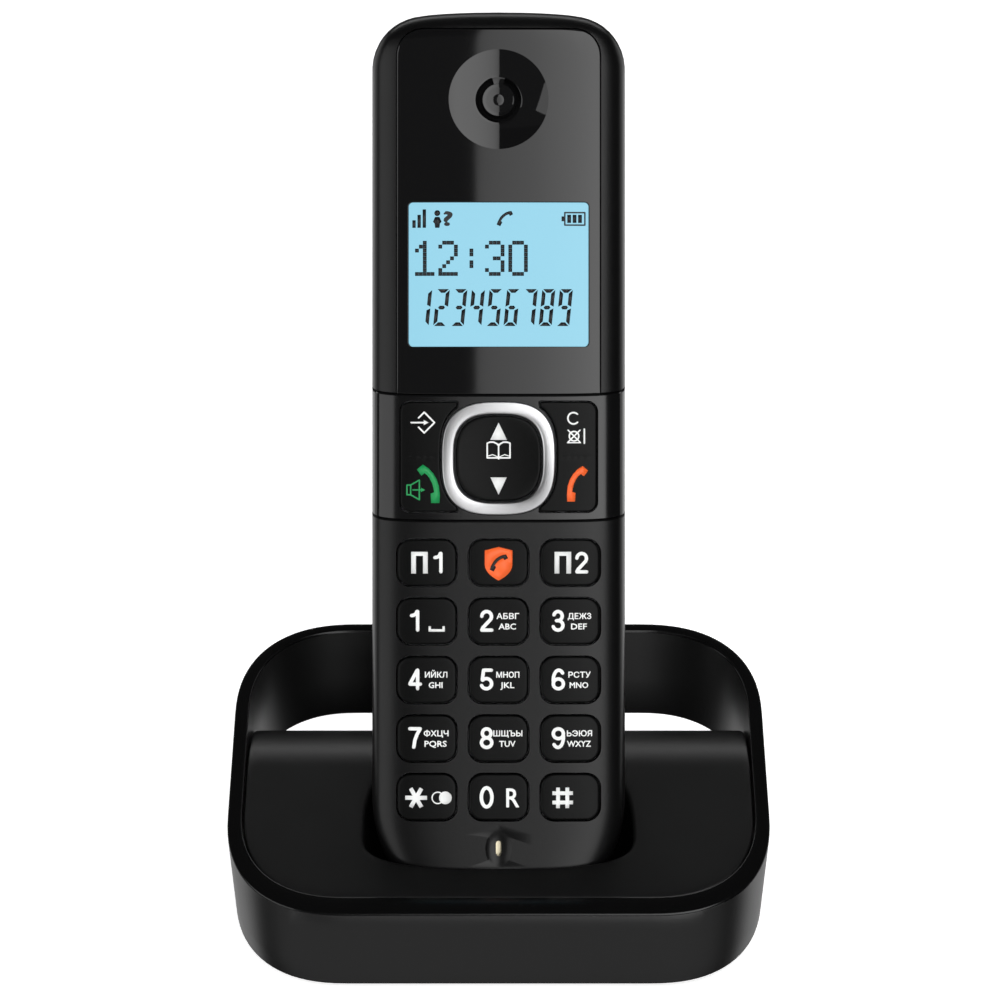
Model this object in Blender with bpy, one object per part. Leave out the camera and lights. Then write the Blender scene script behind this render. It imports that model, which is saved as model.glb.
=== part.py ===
"""A cordless telephone: a handset that stands in a charging base with a tilted hoop.

Metres, +Z up, the keypad side towards -Y. The origin is the bottom centre of the whole object's box.
The handset is modelled upright in its own frame (X across, Y from face to back, Z along its length) and
leans back on an empty. The base is modelled in a frame whose Y is the depth behind the hoop's front edge.
"""

import math

import bmesh
import bpy
from mathutils import Matrix

# ---------------------------------------------------------------- driving dimensions
GAP = 0.0003  # between pieces that rest on each other
BASE_FRONT_Y = -0.0423  # the hoop's front edge, so that the object's box is centred on the origin

# hoop: a band of constant height between two tilted planes
HOOP_HALF_WIDTH = 0.0505
HOOP_DEPTH = 0.0700
HOOP_RADIUS = 0.0230
HOOP_EXPONENT = 2.4  # corners a little squarer than circles
HOOP_HEIGHT = 0.0154
HOOP_FOOT = 0.0008  # its lower front edge above the table
HOOP_SLOPE = math.tan(math.radians(22.4))
HOOP_DRAFT = math.tan(math.radians(5.0))
HOOP_WALL_SIDE = 0.0026
HOOP_WALL_FRONT = 0.0040
HOOP_WALL_BACK = 0.0019

# cradle body inside the hoop
DECK_DROP = 0.0006  # the deck lies this far below the hoop's rim
BODY_WALL = 0.0018
BODY_BOTTOM = 0.0033
BODY_BACK = 0.0600
BACK_WALL_TOP = 0.0170
CREST_DEPTH = 0.0462  # where the deck's plane would meet the back slope
CREST_RADIUS = 0.0060
COVER_LOW, COVER_HIGH = 0.0012, 0.0030
FOOT_RADIUS, FOOT_TOP = 0.0040, 0.0015
BOARD_LOW, BOARD_HIGH = 0.0046, 0.0058

# handset
LEAN = math.radians(20.0)
HANDSET_LENGTH = 0.1670
HANDSET_HALF_WIDTH = 0.0235
FACE_DEPTH = 0.0090  # from the face to the widest line, which is the parting line
BACK_DEPTH = 0.0135
FACE_EXPONENT, BACK_EXPONENT = 5.0, 2.8
HANDSET_WALL = 0.0024
TOP_RADIUS, FOOT_CORNER_RADIUS, FOOT_CORNER_TOP = 0.0100, 0.0250, 0.0220
TOP_CROWN = 0.0006
BEVEL_TOP_FACE, BEVEL_TOP_BACK, BEVEL_FOOT = 0.0040, 0.0080, 0.0015
SHEAR_END = 0.0250  # the slanted foot fades out at this height
HANDSET_FRONT = 0.0088  # depth of the handset's lower front edge behind the hoop's front
HANDSET_FOOT_Z = 0.0110
SEAM_SLOPE = 0.30  # the two seams rise towards the back
SEAM_LOW, SEAM_HIGH = 0.0732, 0.0965

# pocket that holds the handset's foot, in the handset's frame
POCKET_HALF_WIDTH, POCKET_CENTRE = 0.0249, 0.0055
POCKET_FRONT, POCKET_BACK = 0.0061, 0.0176
POCKET_FLOOR_Z, POCKET_FLOOR_WALL, POCKET_WALL = 0.0104, 0.0012, 0.0015

# keypad
KEY_COLUMNS = (-0.0132, 0.0, 0.0132)
KEY_FIRST_ROW, KEY_PITCH = 0.0224, 0.0108
KEY_HALF_WIDTH, KEY_HALF_HEIGHT, KEY_RADIUS = 0.00545, 0.00425, 0.0022
KEY_PROUD, KEY_FOOT, KEY_CLEARANCE = 0.00045, 0.0032, 0.00025
KEY_ROWS = (
    ("star", "zero", "hash"),
    ("seven", "eight", "nine"),
    ("four", "five", "six"),
    ("one", "two", "three"),
    ("memory_one", "call_block", "memory_two"),
)
NAV_CENTRE = 0.0850
NAV_PAD, NAV_HOLE, NAV_RING_IN, NAV_RING_OUT, NAV_EXPONENT = 0.00785, 0.0085, 0.0082, 0.0106, 2.9
NAV_RING_PROUD, NAV_RING_FOOT = 0.0009, 0.00115
SIDE_KEY_EDGE, SIDE_KEY_HALF_HEIGHT, SIDE_KEY_RADIUS = 0.0183, 0.0101, 0.0018
SIDE_KEY_CLEARANCE = 0.0003
HINGE_DEPTH = 0.0035
MAT_FRONT, MAT_BACK = 0.0041, 0.0049

# window and display
WINDOW_HALF_WIDTH, WINDOW_TOP, WINDOW_RADIUS = 0.0188, 0.1641, 0.0050
WINDOW_BACK, WINDOW_SEAT = 0.0012, 0.0015
DISPLAY_HALF_WIDTH, DISPLAY_LOW, DISPLAY_HIGH = 0.0166, 0.1054, 0.1320
DISH_CENTRE, DISH_RADIUS, DISH_DEPTH = 0.1510, 0.0092, 0.0015

# battery compartment
CELL_RADIUS, CELL_LENGTH, CELL_X, CELL_Y, CELL_LOW = 0.00525, 0.0445, 0.0056, 0.0152, 0.04375
TUB_HALF_WIDTH, TUB_LOW, TUB_HIGH, TUB_FLOOR = 0.0122, 0.0410, 0.0910, 0.0095
DOOR_HALF_WIDTH, DOOR_LOW, DOOR_HIGH, DOOR_WALL = 0.0145, 0.0380, 0.0980, 0.0016

PALETTE = {
    "satin_black": ((0.024, 0.024, 0.025, 1), 0.42, 0.0),
    "gloss_black": ((0.012, 0.012, 0.013, 1), 0.08, 0.0),
    "key_black": ((0.016, 0.016, 0.017, 1), 0.50, 0.0),
    "silver": ((0.72, 0.72, 0.73, 1), 0.30, 1.0),
    "rubber": ((0.03, 0.03, 0.03, 1), 0.80, 0.0),
    "circuit_green": ((0.02, 0.16, 0.06, 1), 0.45, 0.0),
    "lcd_blue": ((0.30, 0.66, 0.80, 1), 0.35, 0.0),
    "contact_metal": ((0.80, 0.76, 0.62, 1), 0.28, 1.0),
    "cell_wrap": ((0.10, 0.30, 0.14, 1), 0.38, 0.0),
    "screw_steel": ((0.45, 0.45, 0.46, 1), 0.35, 1.0),
    "silicone": ((0.22, 0.22, 0.23, 1), 0.70, 0.0),
}


# ---------------------------------------------------------------- small tools
def clear_scene():
    for obj in list(bpy.data.objects):
        bpy.data.objects.remove(obj)


def material(name):
    found = bpy.data.materials.get(name)
    if found:
        return found
    colour, roughness, metallic = PALETTE[name]
    made = bpy.data.materials.new(name)
    made.use_nodes = True
    shader = made.node_tree.nodes["Principled BSDF"]
    shader.inputs["Base Color"].default_value = colour
    shader.inputs["Roughness"].default_value = roughness
    shader.inputs["Metallic"].default_value = metallic
    return made


def add_object(name, bm, finish):
    """A new object from a bmesh, whose faces are made to point outwards."""
    bmesh.ops.recalc_face_normals(bm, faces=bm.faces)
    mesh = bpy.data.meshes.new(name)
    bm.to_mesh(mesh)
    bm.free()
    obj = bpy.data.objects.new(name, mesh)
    obj.data.materials.append(material(finish))
    bpy.context.scene.collection.objects.link(obj)
    return obj


def cutter(bm):
    return add_object("cutter", bm, "satin_black")


def loft(loops, ring=False):
    """A closed bmesh through loops of equally many points. A ring joins its last loop to its first."""
    bm = bmesh.new()
    rows = [[bm.verts.new(point) for point in loop] for loop in loops]
    pairs = list(zip(rows, rows[1:]))
    if ring:
        pairs.append((rows[-1], rows[0]))
    for low, high in pairs:
        for i in range(len(low)):
            j = (i + 1) % len(low)
            bm.faces.new((low[i], low[j], high[j], high[i]))
    if not ring:
        bm.faces.new(rows[0])
        bm.faces.new(rows[-1])
    return bm


def prism(outline, low, high, axis="z"):
    """A prism over a 2D outline: over (x, y) along z, over (x, z) along y, or over (y, z) along x."""
    place = {
        "z": lambda a, b, c: (a, b, c),
        "y": lambda a, b, c: (a, c, b),
        "x": lambda a, b, c: (c, a, b),
    }[axis]
    return loft([[place(a, b, c) for a, b in outline] for c in (low, high)])


def box(low, high):
    (x0, y0, z0), (x1, y1, z1) = low, high
    return prism([(x0, y0), (x1, y0), (x1, y1), (x0, y1)], z0, z1)


def revolve(profile, segments=24, axis="z"):
    """A solid turned from (radius, height) points whose radii are all above zero."""
    turns = [2 * math.pi * i / segments for i in range(segments)]
    if axis == "z":
        return loft([[(r * math.cos(t), r * math.sin(t), h) for t in turns] for r, h in profile])
    return loft([[(r * math.cos(t), h, r * math.sin(t)) for t in turns] for r, h in profile])


def rounded_rectangle(half_x, half_y, radius, segments=4, centre=(0.0, 0.0)):
    points = []
    for quarter, (sx, sy) in enumerate(((1, 1), (-1, 1), (-1, -1), (1, -1))):
        for i in range(segments + 1):
            t = math.pi / 2 * (quarter + i / segments)
            points.append((
                centre[0] + sx * (half_x - radius) + radius * math.cos(t),
                centre[1] + sy * (half_y - radius) + radius * math.sin(t),
            ))
    return points


def superellipse(half, exponent, count, centre=(0.0, 0.0)):
    points = []
    for i in range(count):
        t = 2 * math.pi * (i + 0.5) / count
        c, s = math.cos(t), math.sin(t)
        points.append((
            centre[0] + half * math.copysign(abs(c) ** (2 / exponent), c),
            centre[1] + half * math.copysign(abs(s) ** (2 / exponent), s),
        ))
    return points


def boolean(obj, tool, operation="DIFFERENCE"):
    """Applies a Boolean of a bmesh or an object, which is used up."""
    if isinstance(tool, bmesh.types.BMesh):
        tool = cutter(tool)
    modifier = obj.modifiers.new("cut", "BOOLEAN")
    modifier.operation = operation
    modifier.solver = "EXACT"
    modifier.object = tool
    bpy.context.view_layer.update()
    graph = bpy.context.evaluated_depsgraph_get()
    mesh = bpy.data.meshes.new_from_object(obj.evaluated_get(graph))
    obj.modifiers.clear()
    obj.data = mesh
    bpy.data.objects.remove(tool)
    return obj


def place(obj, parent, location=(0, 0, 0), rotation_x=0.0):
    obj.parent = parent
    obj.location = location
    obj.rotation_euler = (rotation_x, 0, 0)
    return obj


def moved(bm, x=0.0, y=0.0, z=0.0, rotation_x=0.0):
    turn = Matrix.Rotation(rotation_x, 4, "X")
    bmesh.ops.transform(bm, matrix=Matrix.Translation((x, y, z)) @ turn, verts=bm.verts)
    return bm


def empty(name, location, rotation_x=0.0):
    made = bpy.data.objects.new(name, None)
    made.location = location
    made.rotation_euler = (rotation_x, 0, 0)
    bpy.context.scene.collection.objects.link(made)
    return made


# ---------------------------------------------------------------- base
def rim_height(depth):
    """The hoop's rim above the table at a depth behind its front edge."""
    return HOOP_FOOT + HOOP_HEIGHT + depth * HOOP_SLOPE


def hoop_outline(inset_side, inset_front, inset_back, segments=7):
    half = HOOP_HALF_WIDTH - inset_side
    front, back = inset_front, HOOP_DEPTH - inset_back
    radius = HOOP_RADIUS - inset_side
    points = []
    for quarter, (sx, y) in enumerate(((1, back - radius), (-1, back - radius), (-1, front + radius), (1, front + radius))):
        for i in range(segments + 1):
            t = math.pi / 2 * (quarter + i / segments)
            c, s = math.cos(t), math.sin(t)
            points.append((
                sx * (half - radius) + radius * math.copysign(abs(c) ** (2 / HOOP_EXPONENT), c),
                y + radius * math.copysign(abs(s) ** (2 / HOOP_EXPONENT), s),
            ))
    return points


def tilted_loop(inset_side, inset_front, inset_back, drop):
    """A plan outline laid on the plane that lies drop below the rim, drawn in by the draft."""
    draft = max(drop, 0) * HOOP_DRAFT
    outline = hoop_outline(inset_side + draft, inset_front + draft, inset_back + draft)
    return [(x, y, rim_height(y) - drop) for x, y in outline]


def body_column(inset):
    """The drafted column that fills the hoop, drawn in by inset, from above the rim to below the table."""
    insets = (HOOP_WALL_SIDE + inset, HOOP_WALL_FRONT + inset, HOOP_WALL_BACK + inset)
    above = [(x, y, z + 0.010) for x, y, z in tilted_loop(*insets, 0.0)]
    return loft([above, tilted_loop(*insets, 0.0), tilted_loop(*insets, 0.055)])


def body_profile(inset, low):
    """The cradle's side outline as (depth, height): deck slope, round crest, back slope and back wall."""
    deck = math.atan(HOOP_SLOPE)
    crest_z = rim_height(CREST_DEPTH) - DECK_DROP
    slope = math.atan2(crest_z - BACK_WALL_TOP, BODY_BACK - CREST_DEPTH)
    radius = max(CREST_RADIUS - inset, 0.001)
    reach = CREST_RADIUS * math.tan((deck + slope) / 2)
    centre = (
        CREST_DEPTH - reach * math.cos(deck) + CREST_RADIUS * math.sin(deck),
        crest_z - reach * math.sin(deck) - CREST_RADIUS * math.cos(deck),
    )
    steps = 6
    arc = []
    for i in range(steps + 1):
        t = math.pi / 2 + deck - (deck + slope) * i / steps
        arc.append((centre[0] + radius * math.cos(t), centre[1] + radius * math.sin(t)))
    front = -0.010
    deck_front_z = rim_height(front) - DECK_DROP - inset / math.cos(deck)
    back_top_z = BACK_WALL_TOP - inset * math.tan(slope / 2)
    back = BODY_BACK - inset
    return [(front, low), (front, deck_front_z), *arc, (back, back_top_z), (back, low)]


def body_form(inset, low):
    half = 0.060
    form = cutter(prism(body_profile(inset, low), -half, half, "x"))
    return boolean(form, body_column(inset + GAP), "INTERSECT")


def pocket_outline(grow):
    count = 28
    points = []
    for i in range(count):
        t = 2 * math.pi * i / count
        c, s = math.cos(t), math.sin(t)
        depth, exponent = (POCKET_FRONT, 3.0) if s < 0 else (POCKET_BACK, BACK_EXPONENT)
        points.append((
            (POCKET_HALF_WIDTH + grow) * math.copysign(abs(c) ** (2 / exponent), c),
            POCKET_CENTRE + (depth + grow) * math.copysign(abs(s) ** (2 / exponent), s),
        ))
    return points


def pocket_form(grow, floor_z):
    """The pocket's shape along the handset's lean, cut off level at its floor."""
    column = moved(prism(pocket_outline(grow), -0.030, 0.060), 0, HANDSET_FRONT, HANDSET_FOOT_Z, -LEAN)
    return boolean(cutter(column), box((-0.05, -0.05, floor_z), (0.05, 0.10, 0.08)), "INTERSECT")


SCREW_SPOTS = ((-0.036, 0.0150), (0.036, 0.0150), (-0.036, 0.0455), (0.036, 0.0455))
FOOT_SPOTS = ((-0.034, 0.0235), (0.034, 0.0235), (-0.034, 0.0555), (0.034, 0.0555))
CONTACT_X, CONTACT_Y = 0.0065, 0.0143
LINE_JACK = (-0.0220, -0.0096, 0.0061, 0.0159)  # low x, high x, low z, high z of the line socket's body
POWER_JACK = (0.0090, 0.0180, 0.0061, 0.0151)
PAGE_BUTTON_Z, PAGE_BUTTON_RADIUS = 0.0110, 0.0040


def base_hoop(frame):
    walls = (HOOP_WALL_SIDE, HOOP_WALL_FRONT, HOOP_WALL_BACK)
    rim_round = 0.0005
    outer = [
        tilted_loop(0, 0, 0, HOOP_HEIGHT),
        tilted_loop(0, 0, 0, rim_round),
        tilted_loop(rim_round, rim_round, rim_round, 0),
    ]
    inner = [
        tilted_loop(*(w - rim_round for w in walls), 0),
        tilted_loop(*walls, rim_round),
        tilted_loop(*walls, HOOP_HEIGHT),
    ]
    return place(add_object("base_hoop", loft(outer + inner, ring=True), "satin_black"), frame)


def cradle_deck(frame):
    deck = body_form(0.0, BODY_BOTTOM)
    deck.name = "cradle_deck"
    boolean(deck, body_form(BODY_WALL, -0.010))
    extra = pocket_form(POCKET_WALL, POCKET_FLOOR_Z - POCKET_FLOOR_WALL)
    for x, y in SCREW_SPOTS:
        boolean(extra, moved(revolve([(0.003, BODY_BOTTOM), (0.003, 0.040)], 12), x, y), "UNION")
    boolean(extra, body_form(0.0, BODY_BOTTOM), "INTERSECT")
    boolean(deck, extra, "UNION")
    boolean(deck, pocket_form(0.0, POCKET_FLOOR_Z))
    for x, y in SCREW_SPOTS:
        boolean(deck, moved(revolve([(0.0013, -0.001), (0.0013, 0.0115)], 12), x, y))
    for side in (-1, 1):
        x = side * CONTACT_X
        boolean(deck, box((x - 0.0011, CONTACT_Y - 0.0022, 0.008), (x + 0.0011, CONTACT_Y + 0.0022, 0.011)))
    for x0, x1, z0, z1 in (LINE_JACK, POWER_JACK):
        boolean(deck, box((x0 - GAP, 0.056, z0 - GAP), (x1 + GAP, 0.062, z1 + GAP)))
    hole = PAGE_BUTTON_RADIUS + GAP
    boolean(deck, moved(revolve([(hole, 0.055), (hole, 0.062)], 20, "y"), 0, 0, PAGE_BUTTON_Z))
    return place(deck, frame)


def bottom_cover(frame):
    cover = body_form(0.0, -0.020)
    cover.name = "base_bottom_cover"
    boolean(cover, box((-0.06, -0.02, COVER_LOW), (0.06, 0.09, COVER_HIGH)), "INTERSECT")
    for x, y in FOOT_SPOTS:
        radius = FOOT_RADIUS + GAP
        boolean(cover, moved(revolve([(radius, 0.0), (radius, FOOT_TOP + GAP)], 16), x, y))
    for x, y in SCREW_SPOTS:
        profile = [(0.0025, 0.0), (0.0025, 0.0022), (0.0013, 0.0022), (0.0013, 0.004)]
        boolean(cover, moved(revolve(profile, 12), x, y))
    return place(cover, frame)


def base_feet(frame):
    sides = ("front_left", "front_right", "rear_left", "rear_right")
    for side, (x, y) in zip(sides, FOOT_SPOTS):
        chamfer = 0.0004
        profile = [(FOOT_RADIUS - chamfer, 0.0), (FOOT_RADIUS, chamfer), (FOOT_RADIUS, FOOT_TOP)]
        place(add_object(f"foot_{side}", revolve(profile, 16), "rubber"), frame, (x, y, 0))


def screw_mesh(head_radius, head_height, shank_radius, length):
    """A screw with its head's outer face at height zero, its shank up +Z and a socket in its head."""
    socket, depth = head_radius * 0.45, head_height * 0.5
    profile = [
        (0.0001, depth), (socket, depth), (socket, 0.0), (head_radius, 0.0), (head_radius, head_height),
        (shank_radius, head_height), (shank_radius, length - 0.001), (shank_radius * 0.4, length),
    ]
    return revolve(profile, 10)


def base_screws(frame):
    sides = ("front_left", "front_right", "rear_left", "rear_right")
    for side, (x, y) in zip(sides, SCREW_SPOTS):
        head_z = 0.0013
        screw = add_object(f"base_screw_{side}", screw_mesh(0.0021, 0.0006, 0.0010, 0.0090), "screw_steel")
        place(screw, frame, (x, y, head_z))


def base_electronics(frame):
    board = add_object("base_circuit_board", box((-0.0300, 0.0200, BOARD_LOW), (0.0300, 0.0560, BOARD_HIGH)), "circuit_green")
    place(board, frame)
    x0, x1, z0, z1 = LINE_JACK
    jack = add_object("line_jack", box((x0, 0.0450, z0), (x1, BODY_BACK, z1)), "satin_black")
    middle = (x0 + x1) / 2
    boolean(jack, box((middle - 0.0048, 0.0480, z0 + 0.0010), (middle + 0.0048, 0.0620, z0 + 0.0078)))
    boolean(jack, box((middle - 0.0020, 0.0480, z0 + 0.0070), (middle + 0.0020, 0.0620, z0 + 0.0090)))
    place(jack, frame)
    x0, x1, z0, z1 = POWER_JACK
    power = add_object("power_jack", box((x0, 0.0480, z0), (x1, BODY_BACK, z1)), "satin_black")
    hole = [(0.0029, 0.0510), (0.0029, 0.0620)]
    boolean(power, moved(revolve(hole, 16, "y"), (x0 + x1) / 2, 0, (z0 + z1) / 2))
    pin = [(0.0009, 0.0500), (0.0009, 0.0590)]
    boolean(power, moved(revolve(pin, 8, "y"), (x0 + x1) / 2, 0, (z0 + z1) / 2), "UNION")
    place(power, frame)
    antenna_low = BOARD_HIGH + GAP
    strip = [(0.0, antenna_low), (0.0070, antenna_low), (0.0070, 0.0100), (0.0300, 0.0100), (0.0300, 0.0106),
             (0.0064, 0.0106), (0.0064, antenna_low + 0.0006), (0.0, antenna_low + 0.0006)]
    place(add_object("base_antenna", prism(strip, 0.0, 0.0020, "x"), "contact_metal"), frame, (0.0270, 0.0225, 0))


def page_button(frame):
    radius = PAGE_BUTTON_RADIUS
    wall_inside = BODY_BACK - BODY_WALL - 2 * GAP
    profile = [
        (radius + 0.0010, wall_inside - 0.0012), (radius + 0.0010, wall_inside), (radius, wall_inside),
        (radius, BODY_BACK + 0.0006), (radius - 0.0004, BODY_BACK + 0.0010),
    ]
    button = add_object("page_button", moved(revolve(profile, 20, "y"), 0, -BODY_BACK, 0), "key_black")
    place(button, frame, (0, BODY_BACK, PAGE_BUTTON_Z))


def charge_contacts(frame):
    """Sprung blades whose round tips stand through the pocket's floor."""
    tip = POCKET_FLOOR_Z + GAP
    blade = [(-0.0034, -0.0038), (0.0034, -0.0038), (0.0034, -0.0023), (0.0017, -0.0023), (0.0014, -0.0006)]
    arc = [(0.0014 * math.cos(t), -0.0006 + 0.0006 * math.sin(t)) for t in (0.6, 1.2, 1.94, 2.54)]
    outline = blade + arc + [(-0.0014, -0.0006), (-0.0017, -0.0023), (-0.0034, -0.0023)]
    for side, name in ((-1, "left"), (1, "right")):
        contact = add_object(f"charge_contact_{name}", prism(outline, -0.0008, 0.0008, "x"), "contact_metal")
        place(contact, frame, (side * CONTACT_X, CONTACT_Y, tip))


# ---------------------------------------------------------------- handset
def half_width(v):
    """The handset's half width at a height v along its length."""
    if v < FOOT_CORNER_TOP:
        fall = FOOT_CORNER_TOP - v
        return HANDSET_HALF_WIDTH - FOOT_CORNER_RADIUS + math.sqrt(FOOT_CORNER_RADIUS**2 - fall**2)
    rise = max(v - (HANDSET_LENGTH - TOP_RADIUS), 0.0)
    return HANDSET_HALF_WIDTH - TOP_RADIUS + math.sqrt(max(TOP_RADIUS**2 - rise**2, 0.0))


def end_round(distance, radius):
    """How far a surface draws in at a distance from an end that is rounded to radius."""
    if distance >= radius:
        return 0.0
    return radius - math.sqrt(radius**2 - (radius - distance) ** 2)


def handset_loop(v, inset, count=28):
    low, high = v, HANDSET_LENGTH - v
    half = half_width(v) - inset
    face = FACE_DEPTH - inset - end_round(high, BEVEL_TOP_FACE) - end_round(low, BEVEL_FOOT)
    back = BACK_DEPTH - inset - end_round(high, BEVEL_TOP_BACK) - end_round(low, BEVEL_FOOT)
    shear = math.tan(LEAN) * max(0.0, 1 - v / SHEAR_END)
    crown = TOP_CROWN * max(0.0, 1 - high / TOP_RADIUS)
    points = []
    for i in range(count):
        t = 2 * math.pi * i / count
        c, s = math.cos(t), math.sin(t)
        depth, exponent = (face, FACE_EXPONENT) if s < 0 else (back, BACK_EXPONENT)
        x = half * math.copysign(abs(c) ** (2 / exponent), c)
        y = FACE_DEPTH + depth * math.copysign(abs(s) ** (2 / exponent), s)
        points.append((x, y, v + shear * y + crown * (1 - (x / half) ** 2)))
    return points


def handset_form(inset=0.0):
    """The handset's whole outer form, drawn in by inset."""
    low, high = inset, HANDSET_LENGTH - inset
    stations = [low, 0.0007, 0.0015, 0.0040, 0.0080, 0.0130, 0.0180, 0.0230, 0.1570, 0.1605, 0.1635, 0.1655, high]
    stations = [low] + [v for v in stations[1:-1] if low + 0.0004 < v < high - 0.0004] + [high]
    return loft([handset_loop(v, inset) for v in stations])


def seam_slab(low, high, front=-0.005, back=0.030):
    """The space between two planes that cross the handset and rise towards its back."""
    side = [
        (front, low + front * SEAM_SLOPE), (front, high + front * SEAM_SLOPE),
        (back, high + back * SEAM_SLOPE), (back, low + back * SEAM_SLOPE),
    ]
    return prism(side, -0.030, 0.030, "x")


def face_depth(x):
    """How far the face lies behind its front line at x."""
    share = min(abs(x) / HANDSET_HALF_WIDTH, 1.0)
    return FACE_DEPTH * (1 - (1 - share**FACE_EXPONENT) ** (1 / FACE_EXPONENT))


def key_centres():
    for row, names in enumerate(KEY_ROWS):
        for name, x in zip(names, KEY_COLUMNS):
            yield name, x, KEY_FIRST_ROW + row * KEY_PITCH


def side_key_outline(side, grow):
    inner = 0.0060
    half = (SIDE_KEY_EDGE + grow - inner) / 2
    centre = (side * (inner + half), NAV_CENTRE)
    return rounded_rectangle(half, SIDE_KEY_HALF_HEIGHT + grow, SIDE_KEY_RADIUS + grow, 3, centre)


def window_outline(grow, low):
    half_height = (WINDOW_TOP + grow - low) / 2
    outline = rounded_rectangle(WINDOW_HALF_WIDTH + grow, half_height, WINDOW_RADIUS, 5, (0, low + half_height))
    return [(x, z) for x, z in outline]


def halves(form, low_y, high_y):
    return boolean(form, box((-0.05, low_y, -0.05), (0.05, high_y, 0.25)), "INTERSECT")


def front_housing(frame):
    housing = halves(cutter(handset_form()), -0.05, FACE_DEPTH - GAP / 2)
    housing.name = "front_housing"
    boolean(housing, handset_form(HANDSET_WALL))
    # the waist under the glossy band
    waist = cutter(seam_slab(SEAM_LOW, SEAM_HIGH))
    boolean(waist, handset_form(0.0014))
    boolean(housing, waist)
    # the window's seat, the display's aperture and the earpiece's opening
    boolean(housing, prism(window_outline(0.0002, SEAM_HIGH - 0.0050), -0.010, WINDOW_SEAT, "y"))
    middle = (DISPLAY_LOW + DISPLAY_HIGH) / 2
    aperture = rounded_rectangle(DISPLAY_HALF_WIDTH + 0.0006, (DISPLAY_HIGH - DISPLAY_LOW) / 2 + 0.0006, 0.001, 2, (0, middle))
    boolean(housing, prism(aperture, -0.010, 0.0045, "y"))
    boolean(housing, moved(revolve([(DISH_RADIUS + 0.0012, -0.010), (DISH_RADIUS + 0.0012, 0.0040)], 24, "y"), 0, 0, DISH_CENTRE))
    for x in (-0.0130, 0.0130):
        boolean(housing, moved(revolve([(0.0026, 0.0019), (0.0026, 0.0088)], 12, "y"), x, 0, 0.1430), "UNION")
        boolean(housing, moved(revolve([(0.0013, 0.0040), (0.0013, 0.0100)], 10, "y"), x, 0, 0.1430))
    # openings for the navigation pad, the side keys and the keypad
    boolean(housing, prism(superellipse(NAV_HOLE, NAV_EXPONENT, 20, (0, NAV_CENTRE)), -0.010, 0.0045, "y"))
    for side in (-1, 1):
        opening = cutter(prism(side_key_outline(side, SIDE_KEY_CLEARANCE), -0.010, 0.0045, "y"))
        boolean(opening, prism(superellipse(NAV_RING_OUT + 0.0001, NAV_EXPONENT, 24, (0, NAV_CENTRE)), -0.011, 0.0055, "y"))
        boolean(housing, opening)
    for _, x, z in key_centres():
        grow = KEY_CLEARANCE
        outline = rounded_rectangle(KEY_HALF_WIDTH + grow, KEY_HALF_HEIGHT + grow, KEY_RADIUS + grow, 3, (x, z))
        boolean(housing, prism(outline, -0.010, 0.0045, "y"))
    # the microphone's slot, in a shallow oval dish
    boolean(housing, prism(rounded_rectangle(0.0022, 0.0032, 0.0021, 3, (0, 0.0130)), -0.010, 0.0007, "y"))
    boolean(housing, prism(rounded_rectangle(0.0005, 0.0014, 0.00045, 2, (0, 0.0130)), -0.010, 0.0040, "y"))
    # recesses for the charging pads
    for side in (-1, 1):
        boolean(housing, charge_pad_mesh(side, GAP))
    return place(housing, frame)


def nav_bezel(frame):
    """The glossy band that wraps the face and sides between the two seams."""
    bezel = halves(cutter(handset_form()), -0.05, FACE_DEPTH - GAP / 2)
    bezel.name = "nav_bezel"
    boolean(bezel, handset_form(0.0011))
    boolean(bezel, seam_slab(SEAM_LOW + 0.00015, SEAM_HIGH - 0.00015), "INTERSECT")
    for side in (-1, 1):
        boolean(bezel, prism(side_key_outline(side, SIDE_KEY_CLEARANCE), -0.010, 0.0045, "y"))
    ring_hole = superellipse(NAV_RING_OUT + SIDE_KEY_CLEARANCE, NAV_EXPONENT, 32, (0, NAV_CENTRE))
    boolean(bezel, prism(ring_hole, -0.010, 0.0045, "y"))
    return place(bezel, frame)


def dish_cutter():
    """The spherical bowl round the earpiece, as a lens turned about the face's normal."""
    radius = (DISH_RADIUS**2 + DISH_DEPTH**2) / (2 * DISH_DEPTH)
    steps = 5
    profile = []
    for i in range(steps):
        r = DISH_RADIUS * (i + 0.15) / (steps - 0.85)
        profile.append((r, DISH_DEPTH - radius + math.sqrt(radius**2 - r**2)))
    return revolve(profile + [(DISH_RADIUS + 0.0005, -0.0010)], 28, "y")


def display_window(frame):
    window = cutter(prism(window_outline(0.0, SEAM_HIGH - 0.0050), -0.005, WINDOW_BACK, "y"))
    window.name = "display_window"
    boolean(window, handset_form(), "INTERSECT")
    boolean(window, seam_slab(SEAM_HIGH + 0.00015, 0.200), "INTERSECT")
    boss = revolve([(DISH_RADIUS + 0.0006, WINDOW_BACK - 0.0005), (DISH_RADIUS + 0.0006, WINDOW_BACK + 0.0016)], 28, "y")
    boolean(window, moved(boss, 0, 0, DISH_CENTRE), "UNION")
    boolean(window, moved(dish_cutter(), 0, 0, DISH_CENTRE))
    # a C-shaped slot lets the sound out round the middle button
    slot = cutter(revolve([(0.0034, 0.0), (0.0034, 0.0040)], 20, "y"))
    boolean(slot, revolve([(0.0027, -0.001), (0.0027, 0.0050)], 20, "y"))
    boolean(slot, box((-0.0008, -0.001, 0.0), (0.0008, 0.005, 0.005)))
    slot.data.transform(Matrix.Translation((0, 0, DISH_CENTRE)))
    boolean(window, slot)
    return place(window, frame)


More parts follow.
